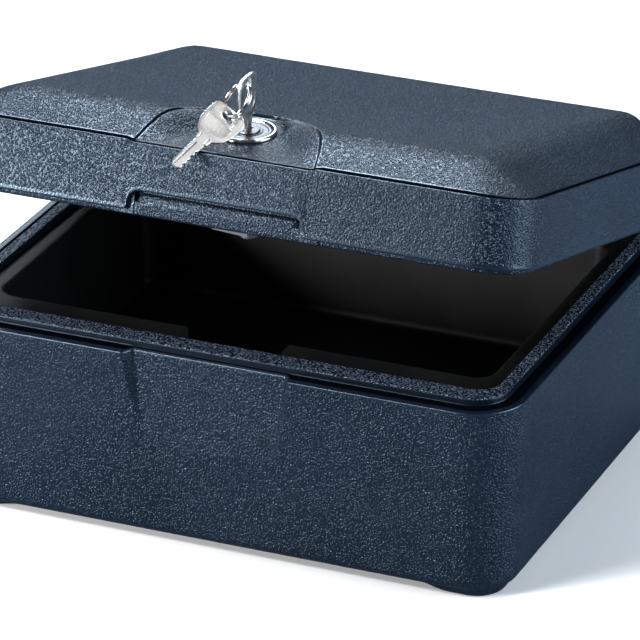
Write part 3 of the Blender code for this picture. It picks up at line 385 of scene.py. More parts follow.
def soften(points, steps=4, closed=False):
    """A polyline of (u, v, radius) whose corners are rounded by their radius."""
    found = []
    count = len(points)
    for i, (u, v, radius) in enumerate(points):
        here = Vector((u, v))
        if radius == 0 or (not closed and i in (0, count - 1)):
            found.append(here)
            continue
        before = Vector(points[i - 1][:2]) - here
        after = Vector(points[(i + 1) % count][:2]) - here
        corner = before.angle(after)
        reach = radius / math.tan(corner / 2)
        reach = min(reach, 0.49 * before.length, 0.49 * after.length)
        start = here + before.normalized() * reach
        end = here + after.normalized() * reach
        for k in range(steps + 1):
            t = k / steps
            found.append(start * (1 - t) ** 2 + here * 2 * t * (1 - t) + end * t * t)
    return [tuple(p) for p in found]


def marks_along(stops):
    """Positions from (position, spacing) stops: each stretch is cut into steps of its spacing."""
    found = [stops[0][0]]
    for (start, _), (end, spacing) in zip(stops, stops[1:]):
        steps = max(1, round((end - start) / spacing))
        found += [start + (end - start) * (k + 1) / steps for k in range(steps)]
    return np.array(found)


# Denser marks where the notch's corners and the recess's creases are.
HALF_MARKS = marks_along(
    [(0, 1), (40, 1.6), (44, 1.0), (50, 0.7), (52.3, 0.4), (52.7, 0.2), (54.4, 0.4), (62, 1.6)]
)
MIDDLE_MARKS = np.concatenate([-HALF_MARKS[:0:-1], HALF_MARKS])


def outline(half, front, rear, radius, corner_steps=12, side_steps=30, middle=MIDDLE_MARKS):
    """Points round a rounded rectangle, with the same count for every size of rectangle.

    The front edge takes its middle points from the given marks, or is cut evenly without them.
    """
    inner = half - radius
    if middle is None:
        front_xs = np.linspace(-inner, inner, side_steps + 1)
    else:
        outer = np.linspace(middle[-1], inner, 14)[1:]
        front_xs = np.concatenate([-outer[::-1], middle, outer])
    side_ys = np.linspace(front + radius, rear - radius, side_steps + 1)
    rear_xs = np.linspace(inner, -inner, 2 * side_steps + 1)
    turn = np.linspace(0, math.pi / 2, corner_steps + 1)[1:-1]

    def corner(centre_x, centre_y, start):
        xs = centre_x + radius * np.cos(turn + start)
        ys = centre_y + radius * np.sin(turn + start)
        return np.stack([xs, ys], 1)

    def straight(xs, ys):
        return np.stack(np.broadcast_arrays(xs, ys), 1)

    pieces = [
        straight(front_xs, front),
        corner(inner, front + radius, -math.pi / 2),
        straight(half, side_ys),
        corner(inner, rear - radius, 0),
        straight(rear_xs, rear),
        corner(-inner, rear - radius, math.pi / 2),
        straight(-half, side_ys[::-1]),
        corner(-inner, front + radius, math.pi),
    ]
    return np.concatenate(pieces)


def level(points, height):
    """The ring of plan points at a height, which may be one number or one for each point."""
    return np.column_stack([points, np.broadcast_to(height, len(points))])


def flat(height):
    """A height function for centre_rings that is the same everywhere."""
    return lambda x, y: np.full(len(x), height)


def shade(mesh):
    mesh.shade_smooth()
    mesh.set_sharp_from_angle(angle=SHARP_ANGLE)


def set_grain(mesh, values):
    """Stores the values, one number or one for each point, as the mesh's grain attribute."""
    layer = mesh.attributes.new("grain", "FLOAT", "POINT")
    every = np.broadcast_to(values, len(mesh.vertices)).astype(np.float32)
    layer.data.foreach_set("value", every)


def loft_mesh(rings, grains=None, wrap=False):
    """A closed skin over rings of equal count; a ring of one point closes an end."""
    verts = np.concatenate(rings)
    starts = np.cumsum([0] + [len(r) for r in rings])
    faces = []
    pairs = list(zip(range(len(rings) - 1), range(1, len(rings))))
    if wrap:
        pairs.append((len(rings) - 1, 0))
    for a, b in pairs:
        count = max(len(rings[a]), len(rings[b]))
        for i in range(count):
            j = (i + 1) % count
            if len(rings[a]) == 1:
                faces.append((starts[a], starts[b] + j, starts[b] + i))
            elif len(rings[b]) == 1:
                faces.append((starts[a] + i, starts[a] + j, starts[b]))
            else:
                faces.append((starts[a] + i, starts[a] + j, starts[b] + j, starts[b] + i))
    mesh = bpy.data.meshes.new("skin")
    mesh.from_pydata((verts * MM).tolist(), [], [tuple(int(i) for i in f) for f in faces])
    if grains is not None:
        values = [np.broadcast_to(g, len(r)) for g, r in zip(grains, rings)]
        set_grain(mesh, np.concatenate(values))
    tidy_mesh(mesh)
    return mesh


class Skin:
    """Rings to loft into a closed skin, each with the grain of its points."""

    def __init__(self):
        self.rings = []
        self.grains = []

    def put(self, ring, grain=PLAIN_GRAIN):
        self.rings.append(ring)
        self.grains.append(grain)

    def mesh(self):
        return loft_mesh(self.rings, self.grains)


def tidy_mesh(mesh):
    """Merges double points, turns the faces outwards and shades the mesh."""
    bm = bmesh.new()
    bm.from_mesh(mesh)
    bmesh.ops.remove_doubles(bm, verts=bm.verts, dist=0.000002)
    bmesh.ops.recalc_face_normals(bm, faces=bm.faces)
    bm.to_mesh(mesh)
    bm.free()
    shade(mesh)


def circle(radius, height, sides):
    if radius == 0:
        return np.array([[0.0, 0.0, height]])
    angles = np.linspace(0, 2 * math.pi, sides, endpoint=False)
    return np.stack([radius * np.cos(angles), radius * np.sin(angles), np.full(sides, height)], 1)


def turned_mesh(profile, sides=96, closed=False):
    """A turned shape from its (radius, height, rounding) profile."""
    rings = [circle(r, z, sides) for r, z in soften(profile, closed=closed)]
    return loft_mesh(rings, wrap=closed)


def rod_mesh(radius, top, bottom, sides):
    """A plain cutting rod for a bore."""
    profile = [(0, top, 0), (radius, top, 0), (radius, bottom, 0), (0, bottom, 0)]
    return turned_mesh(profile, sides)


def hole_loop(radius, sides, centre=(0, 0)):
    """A round hole for a plate, drawn the other way round from its outline."""
    angles = np.linspace(2 * math.pi, 0, sides, endpoint=False)
    return [(centre[0] + radius * math.cos(a), centre[1] + radius * math.sin(a)) for a in angles]


def mesh_from(bm):
    """A new mesh with the contents of the bmesh, which is freed."""
    mesh = bpy.data.meshes.new("made")
    bm.to_mesh(mesh)
    bm.free()
    return mesh


def mesh_as_seen(obj):
    """A new mesh of the object with its modifiers or curve settings applied."""
    bpy.context.view_layer.update()
    evaluated = obj.evaluated_get(bpy.context.evaluated_depsgraph_get())
    return bpy.data.meshes.new_from_object(evaluated)


def linked(name, data):
    """A new object in the scene."""
    obj = bpy.data.objects.new(name, data)
    bpy.context.scene.collection.objects.link(obj)
    return obj


def curve_mesh(lines, closed, **settings):
    """The mesh of a curve that has these settings and runs through lines in millimetres."""
    curve = bpy.data.curves.new("curve", "CURVE")
    for key, value in settings.items():
        setattr(curve, key, value)
    for line in lines:
        spline = curve.splines.new("POLY")
        spline.points.add(len(line) - 1)
        for target, (x, y, z) in zip(spline.points, line):
            target.co = (x * MM, y * MM, z * MM, 1)
        spline.use_cyclic_u = closed
    guide = linked("guide", curve)
    mesh = mesh_as_seen(guide)
    bpy.data.objects.remove(guide, do_unlink=True)
    tidy_mesh(mesh)
    return mesh


def plate_mesh(loops, thickness, bevel, turn=None):
    """A flat plate with rounded edges from 2D outlines in millimetres; later loops are holes."""
    mesh = curve_mesh(
        [[(x, y, 0) for x, y in loop] for loop in loops],
        closed=True,
        dimensions="2D",
        fill_mode="BOTH",
        extrude=(thickness / 2 - bevel) * MM,
        bevel_depth=bevel * MM,
        bevel_resolution=3,
        offset=-bevel * MM,
    )
    if turn is not None:
        mesh.transform(turn)
        tidy_mesh(mesh)
    return mesh


def block(low, high, rounding, steps=4):
    """A box between two corners with all its edges rounded."""
    bm = bmesh.new()
    bmesh.ops.create_cube(bm, size=1)
    low, high = Vector(low) * MM, Vector(high) * MM
    for vert in bm.verts:
        vert.co = (low + high) / 2 + Vector(c * s for c, s in zip(vert.co, high - low))
    if rounding:
        rounded = {"offset": rounding * MM, "segments": steps, "profile": 0.5}
        bmesh.ops.bevel(bm, geom=bm.edges[:], affect="EDGES", **rounded)
    mesh = mesh_from(bm)
    tidy_mesh(mesh)
    return mesh


def joined(meshes):
    """One mesh from several."""
    bm = bmesh.new()
    for mesh in meshes:
        bm.from_mesh(mesh)
    made = mesh_from(bm)
    shade(made)
    return made


def carve(mesh, add=(), cut=()):
    """The mesh joined with the meshes to add, less the meshes to cut."""
    target = linked("carving", mesh)
    steps = [("UNION", other) for other in add] + [("DIFFERENCE", other) for other in cut]
    tools = []
    for operation, other in steps:
        tools.append(linked("carving_tool", other))
        modifier = target.modifiers.new(operation, "BOOLEAN")
        modifier.operation = operation
        modifier.object = tools[-1]
        modifier.solver = "EXACT"
    made = mesh_as_seen(target)
    for obj in [target, *tools]:
        bpy.data.objects.remove(obj, do_unlink=True)
    shade(made)
    return made


def add_piece(name, mesh, matrix, body, material, stands_for):
    """A visible piece that rides on a body and stands for a CAD node.

    The mesh moves to its place in the box, and keeps where its points were in its own frame.
    """
    own = mesh.attributes.new("place", "FLOAT_VECTOR", "POINT")
    points = np.empty(len(mesh.vertices) * 3, np.float32)
    mesh.vertices.foreach_get("co", points)
    own.data.foreach_set("vector", points)
    mesh.transform(matrix)
    obj = linked(name, mesh)
    mesh.name = name
    mesh.materials.clear()
    mesh.materials.append(material)
    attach(obj, body)
    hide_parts(stands_for)
    return obj


def blend_down(first, second, width):
    """The lower of two surfaces, rounded where they cross."""
    overlap = np.maximum(width - np.abs(first - second), 0) / width
    return np.minimum(first, second) - overlap**2 * width / 4


def ease(value, low, high):
    """0 below low and 1 above high, with a smooth rise between them."""
    share = np.clip((value - low) / (high - low), 0, 1)
    return share * share * (3 - 2 * share)


def centre_rings(ring, height_at):
    """Rings that close a cap towards the middle of the given plan points."""
    middle = np.array([[0.0, (ring[:, 1].min() + ring[:, 1].max()) / 2]])
    found = []
    for share in (0.66, 0.33, 0):
        points = middle + (ring - middle) * share if share else middle
        found.append(level(points, height_at(points[:, 0], points[:, 1])))
    return found


def capped(rings, height):
    """The rings, closed by a flat cap inside the last of them."""
    return rings + centre_rings(rings[-1][:, :2], flat(height))


def walls(ring, profile, steps=4):
    """Rings from ring(margin, height) along a softened profile."""
    return [ring(margin, z) for margin, z in soften(profile, steps)]


def body_outline(inset):
    """The plan shared by base and lid, set in from the ledge's edge."""
    radius = max(BODY_RADIUS - inset, CORNER_LEAST)
    return outline(BODY_HALF - inset, inset - BODY_HALF_DEPTH, BODY_HALF_DEPTH - inset, radius)


def grown_outline(plan, margin, radius):
    """A (half width, front, rear, radius) plan, larger by a margin, with its own radius."""
    half, front, rear, _ = plan
    return outline(half + margin, front - margin, rear + margin, radius)


# ---- base shell

def wall_inset(height):
    """How far the drafted outer wall stands in from the ledge's edge."""
    return BASE_DRAFT * (LEDGE_Z - height) / (LEDGE_Z - UNDERSIDE_Z)


def recess_depth(x, height):
    """How far the finger recess sets the front wall back."""
    if height <= RECESS_FADE_Z:
        return np.zeros_like(x)
    rise = (height - RECESS_FADE_Z) / (TONGUE_Z + 2 - RECESS_FADE_Z)
    back = wall_inset(RECESS_FADE_Z) + 4.55 * rise
    half = RECESS_BOTTOM_HALF + (RECESS_TOP_HALF - RECESS_BOTTOM_HALF) * rise
    side = ease(half - np.abs(x), 0, RECESS_CREASE)
    return max(back - wall_inset(height), 0) * side


def base_ring(inset, height, share=1.0):
    """A ring of the base; share says how much of the finger recess it follows."""
    points = body_outline(inset)
    front = points[:, 1] < inset - BODY_HALF_DEPTH + 0.01
    points[:, 1] += np.where(front, recess_depth(points[:, 0], height) * share, 0)
    return level(points, height)


def foot_mesh(side_x, side_y):
    """A corner pad with ramped ends, flared into the underside."""
    rings = []
    sections = [
        (0.0, 126.0, 164.5, 40.0, 129.5, 14),
        (0.5, 124.0, 166.3, 38.4, 131.3, 16),
        (1.6, 121.0, 167.4, 36.0, 132.4, 17),
        (3.2, 116.0, 168.0, 32.5, 133.0, 18),
        (4.6, 110.0, 168.6, 28.5, 133.6, 18),
        (7.5, 109.0, 168.8, 27.5, 133.8, 18),
    ]
    for height, x0, x1, y0, y1, radius in sections:
        half_x = (x1 - x0) / 2
        half_y = (y1 - y0) / 2
        radius = min(radius, half_x * 0.9, half_y * 0.9)
        ring = outline(half_x, -half_y, half_y, radius, 8, 6, None)
        ring += np.array([side_x * (x0 + x1) / 2, side_y * (y0 + y1) / 2])
        rings.append(level(ring, height))
    lowest = rings[0].mean(0, keepdims=True)
    highest = rings[-1].mean(0, keepdims=True)
    rings = [lowest, *rings, highest]
    return loft_mesh(rings, [0.6] * len(rings))


def hinge_plate(outline_yz, middle, width):
    """A hinge part from its side outline, with the pin's bore through it."""
    bore = hole_loop(PIN_BORE, 32, (HINGE.y, HINGE.z))
    turn = Matrix(((0, 0, 1, middle * MM), (1, 0, 0, 0), (0, 1, 0, 0), (0, 0, 0, 1)))
    mesh = plate_mesh([outline_yz, bore], width, 0.7, turn)
    set_grain(mesh, 0.55)
    return mesh


def around_hinge(start, end):
    """An arc of a hinge knuckle, from one angle to another in degrees."""
    points = []
    for angle in np.radians(np.linspace(start, end, 24)):
        y = HINGE.y + KNUCKLE_RADIUS * math.cos(angle)
        z = HINGE.z + KNUCKLE_RADIUS * math.sin(angle)
        points.append((y, z))
    return points


def rim_grain(height):
    """Painted shade on the ledge, less of it up the tongue's wall, and painted light on the grains
    of the tongue's top.
    """
    if height > TONGUE_Z - 0.5:
        return 2.9
    if height > LEDGE_Z + 0.3:
        return -0.6
    return PAINTED_SHADE_GRAIN


def build_base_shell():
    skin = Skin()
    underside = body_outline(BASE_CAP)
    for ring in reversed(centre_rings(underside, flat(UNDERSIDE_Z))):
        skin.put(ring, 0.8)
    profile = [(BASE_CAP, UNDERSIDE_Z, 0), (40, UNDERSIDE_Z, 0), (20, UNDERSIDE_Z, 0)]
    profile += [(wall_inset(12.5), UNDERSIDE_Z, 8), (wall_inset(40), 40, 0)]
    for inset, height in soften(profile, 8):
        skin.put(base_ring(inset, height))
    for height in marks_along([(44, 1), (58, 5), (66, 2), (106, 2.5), (EDGE_START_Z, 1.8)]):
        skin.put(base_ring(wall_inset(height), height))
    edge_end = 2.4
    edge = [(wall_inset(EDGE_START_Z), EDGE_START_Z, 0), (0, LEDGE_Z, 1.1)]
    edge.append((edge_end, LEDGE_Z, 0))
    for inset, height in soften(edge, 5)[1:]:
        skin.put(base_ring(inset, height), 0.12)
    # The recess bends the ledge's outer edge and fades out at the tongue.
    bent_to = 1.2
    ledge = [(inset, LEDGE_Z, 0) for inset in (edge_end, 4.5, 7)]
    ledge.append((LEDGE_WIDTH, LEDGE_Z, 0.9))
    tongue = [(LEDGE_WIDTH + 0.1, TONGUE_Z, 1.7), (LEDGE_WIDTH + 2.6, TONGUE_Z, 0)]
    for inset, height in soften(ledge + tongue, 5)[1:]:
        share = np.clip((LEDGE_WIDTH - inset) / (LEDGE_WIDTH - bent_to), 0, 1)
        skin.put(base_ring(inset, height, share), rim_grain(height))
    outer_top = body_outline(LEDGE_WIDTH + 2.6)
    corner = OPENING[3]
    inner_top = grown_outline(OPENING, 2, corner + 2)
    # Painted light on the grains of the tongue's top, in to the opening.
    for share in (0.33, 0.66):
        skin.put(level(outer_top * (1 - share) + inner_top * share, TONGUE_Z), PAINTED_LIGHT_GRAIN)
    inside = [(2, TONGUE_Z, 0), (0, TONGUE_Z, 1.7), (0, 112.5, 0)]
    for margin, height in soften(inside, 5):
        ring = level(grown_outline(OPENING, margin, corner + margin), height)
        skin.put(ring, PAINTED_LIGHT_GRAIN if height > TONGUE_Z - 0.3 else 0.3)
    hollow = [(WALL, 112.5), (WALL + wall_inset(90), 90), (WALL + wall_inset(RECESS_FADE_Z), 60)]
    hollow += [(WALL + wall_inset(16), 16), (14, SHELL_FLOOR_Z), (BASE_CAP, SHELL_FLOOR_Z)]
    for inset, height in hollow:
        skin.put(base_ring(inset, height))
    for ring in centre_rings(underside, flat(SHELL_FLOOR_Z)):
        skin.put(ring)
    parts = [skin.mesh()]
    for side_x in (-1, 1):
        for side_y in (-1, 1):
            parts.append(foot_mesh(side_x, side_y))
    wall_y = BODY_HALF_DEPTH - 1.2
    lug = around_hinge(-75, 75) + [(wall_y, HINGE.z + 8.5), (wall_y, HINGE.z - 10.5)]
    for side in (-1, 1):
        for step in (-18.4, 18.4):
            parts.append(hinge_plate(lug, side * HINGE_X + step, 10))
    mesh = joined(parts)
    add_piece("moulded_base", mesh, BASE, "base", SHELL, "base_shell")


# ---- base liner

def build_base_liner():
    front, corner = CAVITY[1], CAVITY[3]
    floor = CAVITY_FLOOR_Z
    under = floor - LINER_WALL

    def cavity(margin, z):
        return level(grown_outline(CAVITY, margin, max(corner + margin, 0.8)), z)

    outside = [(LINER_WALL, FLANGE_Z - 2.5, 0), (LINER_WALL - CAVITY_DRAFT, under, 6)]
    outside += [(LINER_WALL - CAVITY_DRAFT - 12, under, 0)]
    rings = capped(walls(cavity, outside), under)[::-1]
    for margin, z in ((-0.3, FLANGE_Z - 2.5), (-0.3, FLANGE_Z - 0.5), (-0.8, FLANGE_Z)):
        rings.append(level(grown_outline(OPENING, margin, OPENING[3] + margin), z))
    inside = [(6, FLANGE_Z, 0), (0, FLANGE_Z, 3.2), (-CAVITY_DRAFT, floor, 6)]
    inside += [(-CAVITY_DRAFT - 14, floor, 0)]
    rings += capped(walls(cavity, inside, 6), floor)
    skin = loft_mesh(rings)
    low = (-BAY_HALF - LINER_WALL, BAY_FRONT - LINER_WALL, BAY_FLOOR_Z - LINER_WALL)
    high = (BAY_HALF + LINER_WALL, front + 8, FLANGE_Z - 1.2)
    tub = block(low, high, 2)
    low = (-BAY_HALF - 6, front + 0.02, BAY_FLOOR_Z - 6)
    tub = carve(tub, cut=[block(low, (BAY_HALF + 6, -60, 130), 0)])
    low = (-BAY_HALF, BAY_FRONT, BAY_FLOOR_Z)
    bay = block(low, (BAY_HALF, front + 20, FLANGE_Z + 20), 4, 5)
    mesh = carve(skin, add=[tub], cut=[bay])
    add_piece("inner_tub", mesh, BASE, "base", LINER, "base_liner")


# ---- lid shell

def shoulder_share(x, y):
    """0 at the foot of the shoulder and 1 where it meets the top, by equal steps all round."""
    reach_y = np.where(y < 0, SHOULDER_FRONT, SHOULDER_REAR)
    in_x = BODY_HALF - SHOULDER_START - np.abs(x)
    in_y = BODY_HALF_DEPTH - SHOULDER_START - np.abs(y)
    foot_radius = BODY_RADIUS - SHOULDER_START
    head_radius = np.where(y < 0, TOP_CORNER_FRONT, TOP_CORNER_REAR)
    low = np.full_like(in_x, -0.2)
    high = np.full_like(in_x, 2.0)
    for _ in range(26):
        share = (low + high) / 2
        top_share = np.clip(share, 0, 1)
        radius = foot_radius + (head_radius - foot_radius) * top_share
        a = radius - in_x + SHOULDER_SIDE * share
        b = radius - in_y + reach_y * share
        depth = radius - np.where((a > 0) & (b > 0), np.hypot(a, b), np.maximum(a, b))
        low = np.where(depth > 0, share, low)
        high = np.where(depth > 0, high, share)
    return (low + high) / 2


def pad_margin(x, y):
    """How far a point lies inside the pad's arched edge; negative outside."""
    back = y + BODY_HALF_DEPTH
    half = PAD_HALF + 4.5 * np.exp(-np.maximum(back, 0) / 3.0)
    u = x / half
    v = back / PAD_ARCH
    reach = np.sqrt(u * u + v * v) + 1e-9
    steepness = np.sqrt((u / half) ** 2 + (v / PAD_ARCH) ** 2) / reach + 1e-9
    return (1 - reach) / steepness


def crown_height(x, y):
    """The lid's top: sloped shoulders, a flat top and the sunk pad for the lock."""
    rise = LID_TOP_Z - SHOULDER_FOOT_Z
    slope = SHOULDER_FOOT_Z + rise * shoulder_share(x, y)
    behind = ease(y, 60, 135) * ease(BODY_HALF - np.abs(x), 60, 110)
    width = 5.5 - 2.5 * ease(y, 60, 125) + 5 * behind
    surface = blend_down(slope, np.full_like(slope, LID_TOP_Z), width)
    back = y + BODY_HALF_DEPTH
    pad = SHOULDER_FOOT_Z + back * math.tan(PAD_SLOPE)
    inside = pad_margin(x, y)
    depth = np.maximum(surface - pad, 0)
    from_lock = np.hypot(x, y - LOCK_AT.y)
    cove = np.maximum(ease(inside, 0, PAD_COVE), 1 - ease(from_lock, 18.2, 24.5) * (inside < 18))
    cove = np.where(inside > 0, cove, 0)
    step = np.minimum(depth, PAD_STEP) * np.clip(inside / 0.8, 0, 1)
    return surface - step - (depth - np.minimum(depth, PAD_STEP)) * cove


def notch_rise(points):
    """How far the skirt's lower edge is raised by the notch in the front."""
    x = np.abs(points[:, 0])
    side = NOTCH_HEIGHT - NOTCH_RADIUS
    centre = NOTCH_HALF - NOTCH_RADIUS
    corner = side + np.sqrt(np.maximum(NOTCH_RADIUS**2 - np.maximum(x - centre, 0) ** 2, 0))
    lip = 1.5 - np.sqrt(np.maximum(1.5**2 - np.clip(NOTCH_HALF + 1.5 - x, 0, 1.5) ** 2, 0))
    rise = np.where(x < NOTCH_HALF, corner, lip)
    front = points[:, 1] < -BODY_HALF_DEPTH + 6
    return np.where(front, rise, 0)


# The skirt's rounded lip and the groove behind it: (inset, drop below the lip, grain).
# A grain below 0 paints shade in the groove and takes the highlight off the lip.
LIP_AND_GROOVE = (
    (1.45, 0.55, 1.0),
    (1.65, 0.18, 0.3),
    (2.0, 0.0, -0.6),
    (2.3, 0.15, -1.0),
    (2.5, 0.8, -1.0),
    (2.8, 1.7, -1.0),
    (3.5, 1.7, -1.0),
)
# The inset up to which the groove's painted shade reaches, seen from the front.
GROOVE_SEEN = 7.1


def crown_ring(inset, lip_z, in_pad):
    """A ring of the lid's top and its grain, with painted shade in the groove and along the pad's
    edge.
    """
    points = body_outline(inset)
    x, y = points.T
    height = crown_height(x, y)
    if inset < 4.2:
        height = np.minimum(height, lip_z - 0.9)
    margin = pad_margin(x, y)
    pad_edge_shade = np.exp(-(((margin - 0.5) / 1.0) ** 2))
    rear = ease(y, BODY_HALF_DEPTH - 30, BODY_HALF_DEPTH - 12)
    side = ease(y, -BODY_HALF_DEPTH + 5, -BODY_HALF_DEPTH + 32)
    seen = GROOVE_SEEN - 1.9 * in_pad - 1.4 * side - 1.5 * rear
    shade_mask = 1 - ease(inset, seen, seen + 0.8)
    top = ease(shoulder_share(x, y), 0.75, 1.1) * (margin < 0)
    grain = 1.2 + 0.5 * top
    return level(points, height), grain + (PAINTED_SHADE_GRAIN - grain) * np.maximum(shade_mask, pad_edge_shade)


def build_lid_shell():
    skin = Skin()
    lip_points = body_outline(2.2)
    in_pad = 1 - ease(np.abs(lip_points[:, 0]), 50, 58)
    in_pad = in_pad * (lip_points[:, 1] < -BODY_HALF_DEPTH + 6)
    lip_z = SKIRT_TOP_Z - 1.2 * in_pad
    foot_z = LID_BOTTOM_Z + notch_rise(lip_points)

    def ceiling(x, y):
        return crown_height(x, y) - CROWN_WALL

    for ring in reversed(centre_rings(body_outline(LID_CAP), ceiling)):
        skin.put(ring)
    for inset in (LID_CAP, 48, 36, 28, 20, 12, 7, 4.5):
        points = body_outline(inset)
        skin.put(level(points, ceiling(points[:, 0], points[:, 1])))
    for height in (151, 144, 138):
        skin.put(level(body_outline(WALL + SKIRT_DRAFT * 0.8), height))
    lower_edge = [(WALL, 14, 0), (WALL, 0, 0.7), (0, 0, 1.3), (0.1, 2.6, 0)]
    for inset, height in soften(lower_edge, 5):
        skin.put(level(body_outline(inset), foot_z + height), 0.15)
    low = foot_z + 3.2
    high = lip_z - 1.3
    for share in np.linspace(0, 1, 14):
        height = low + (high - low) * share
        inset = SKIRT_DRAFT * float(np.median(height) - LID_BOTTOM_Z) / SKIRT_HEIGHT
        skin.put(level(body_outline(inset), height))
    for inset, drop, grain in LIP_AND_GROOVE:
        skin.put(level(body_outline(inset), lip_z - drop), grain)
    for inset in marks_along([(4.1, 1), (7.1, 0.5), (LID_CAP, 0.9)]):
        skin.put(*crown_ring(inset, lip_z, in_pad))
    for ring in centre_rings(body_outline(LID_CAP), crown_height):
        skin.put(ring, 1.7)
    bore = rod_mesh(LOCK_BORE, 12, -14, 64)
    bore.transform(LOCK_IN_LID)
    mesh = carve(skin.mesh(), cut=[bore])
    clear_y = BODY_HALF_DEPTH + 0.8
    arm = [(clear_y - 2.6, 121.2), (clear_y, 119.6)] + around_hinge(180, 366)
    arm += [(146.6, 135.4), (clear_y - 2.6, 139.5)]
    arms = [hinge_plate(arm, side * HINGE_X, 26) for side in (-1, 1)]
    mesh = joined([mesh, *arms])
    add_piece("moulded_lid", mesh, LID, "lid", SHELL, "lid_shell")


# ---- lid liner

def build_lid_liner():
    bead_edge = WALL + BEAD_GAP + SKIRT_DRAFT * 0.25
    bead_front = bead_edge - BODY_HALF_DEPTH
    bottom = LEDGE_Z + 0.6
    groove_top = TONGUE_Z + 0.6
    ceiling_z = 141.0
    dome_z = ceiling_z + LINER_WALL
    half, front, rear, corner = OPENING

    def bead(margin, z):
        edge = bead_edge + margin
        sizes = (BODY_HALF - edge, edge - BODY_HALF_DEPTH, BODY_HALF_DEPTH - edge)
        return level(outline(*sizes, BODY_RADIUS - WALL - BEAD_GAP - margin), z)

    def groove(margin, z):
        return level(body_outline(LEDGE_WIDTH - 0.8 + margin), z)

    def island(margin, z):
        return level(grown_outline(OPENING, -1.6 - margin, corner - 1), z)

    def pocket(margin, z):
        sizes = (half - 15 + margin, front + 27 - margin, rear - 30 + margin)
        return level(outline(*sizes, max(10 + margin, 0.8)), z)

    plate_top = groove_top + 3.7
    dome = walls(pocket, [(LINER_WALL, plate_top, 0), (LINER_WALL, dome_z, 4), (-14, dome_z, 0)])
    rings = capped(dome, dome_z)[::-1]
    profile = [(3, plate_top, 0), (0, plate_top, 0.5), (0, bottom, 2.4), (4.4, bottom, 0)]
    rings += walls(bead, profile, 5)
    profile = [(-1.2, bottom, 0), (0, bottom, 0.9), (0, groove_top, 0.8), (3, groove_top, 0)]
    rings += walls(groove, profile)
    profile = [(-3, groove_top, 0), (0, groove_top, 0.8), (0, bottom, 1.4), (3, bottom, 0)]
    rings += walls(island, profile)
    profile = [(4, bottom, 0), (0, bottom, 2.5), (0, ceiling_z, 4), (-14, ceiling_z, 0)]
    rings += capped(walls(pocket, profile, 5), ceiling_z)
    skin = loft_mesh(rings)

    tongue_front = LEDGE_WIDTH - BODY_HALF_DEPTH
    low = (2.5 - NOTCH_HALF, bead_front, bottom + 0.7)
    high = (NOTCH_HALF - 2.5, bead_front + 12, LID_BOTTOM_Z + NOTCH_HEIGHT - 0.6)
    bar = block(low, high, 5.9, 8)
    low = (-NOTCH_HALF - 2, tongue_front - 0.8, bottom - 5)
    high = (NOTCH_HALF + 2, 30 - BODY_HALF_DEPTH, groove_top)
    bar = carve(bar, cut=[block(low, high, 0.8)])
    low = (-NOTCH_HALF - 8, bead_front + 2.6, bottom + 1.2)
    high = (NOTCH_HALF + 8, tongue_front - 1.2, 137)
    backing = block(low, high, 0.6, 2)
    cheeks = []
    for x in (-NOTCH_HALF - 8, NOTCH_HALF - 3.6):
        low = (x, WALL + 0.06 - BODY_HALF_DEPTH, bottom + 0.9)
        high = (x + 11.6, WALL + 5 - BODY_HALF_DEPTH, 134)
        cheeks.append(block(low, high, 0.1, 1))
    boss = block((-25, front + 20, bottom), (25, -65.5, ceiling_z + 1), 1.5)
    seat = block((-28, -18, -80), (28, 48, -46), 1.2, 3)
    bore = rod_mesh(LOCK_BORE, 0, -70, 48)
    for tool in (seat, bore):
        tool.transform(LOCK_IN_LID)
    mesh = carve(skin, add=[*cheeks, backing, bar, boss], cut=[seat, bore])
    obj = add_piece("lid_inner_panel", mesh, LID, "lid", LINER, "lid_liner")
    colour_bead(obj.data, LEDGE_WIDTH - 1.5)


def colour_bead(mesh, width):
    """Gives the liner's outer bead and finger bar the shell's plastic, with painted shade at the
    bar's ends.
    """
    coords = np.empty(len(mesh.vertices) * 3, np.float32)
    mesh.attributes["place"].data.foreach_get("vector", coords)
    x, y, z = coords.reshape(-1, 3).T / MM
    x = np.abs(x)
    edge = np.minimum(BODY_HALF - x, BODY_HALF_DEPTH - np.abs(y))
    near_bar = (y < BAR_REACH - BODY_HALF_DEPTH) & (x < NOTCH_HALF + 8)
    # Painted shade at the finger bar's ends.
    shade_mask = ease(x, NOTCH_HALF - 5, NOTCH_HALF - 3.7) * (near_bar & (z > TONGUE_Z))
    set_grain(mesh, 0.8 - 1.8 * shade_mask)
    mesh.materials.append(SHELL)
    for face in mesh.polygons:
        corners = list(face.vertices)
        in_bar = near_bar[corners].all() and z[corners].min() > TONGUE_Z + 2
        if in_bar or edge[corners].min() < width:
            face.material_index = 1


# ---- lock

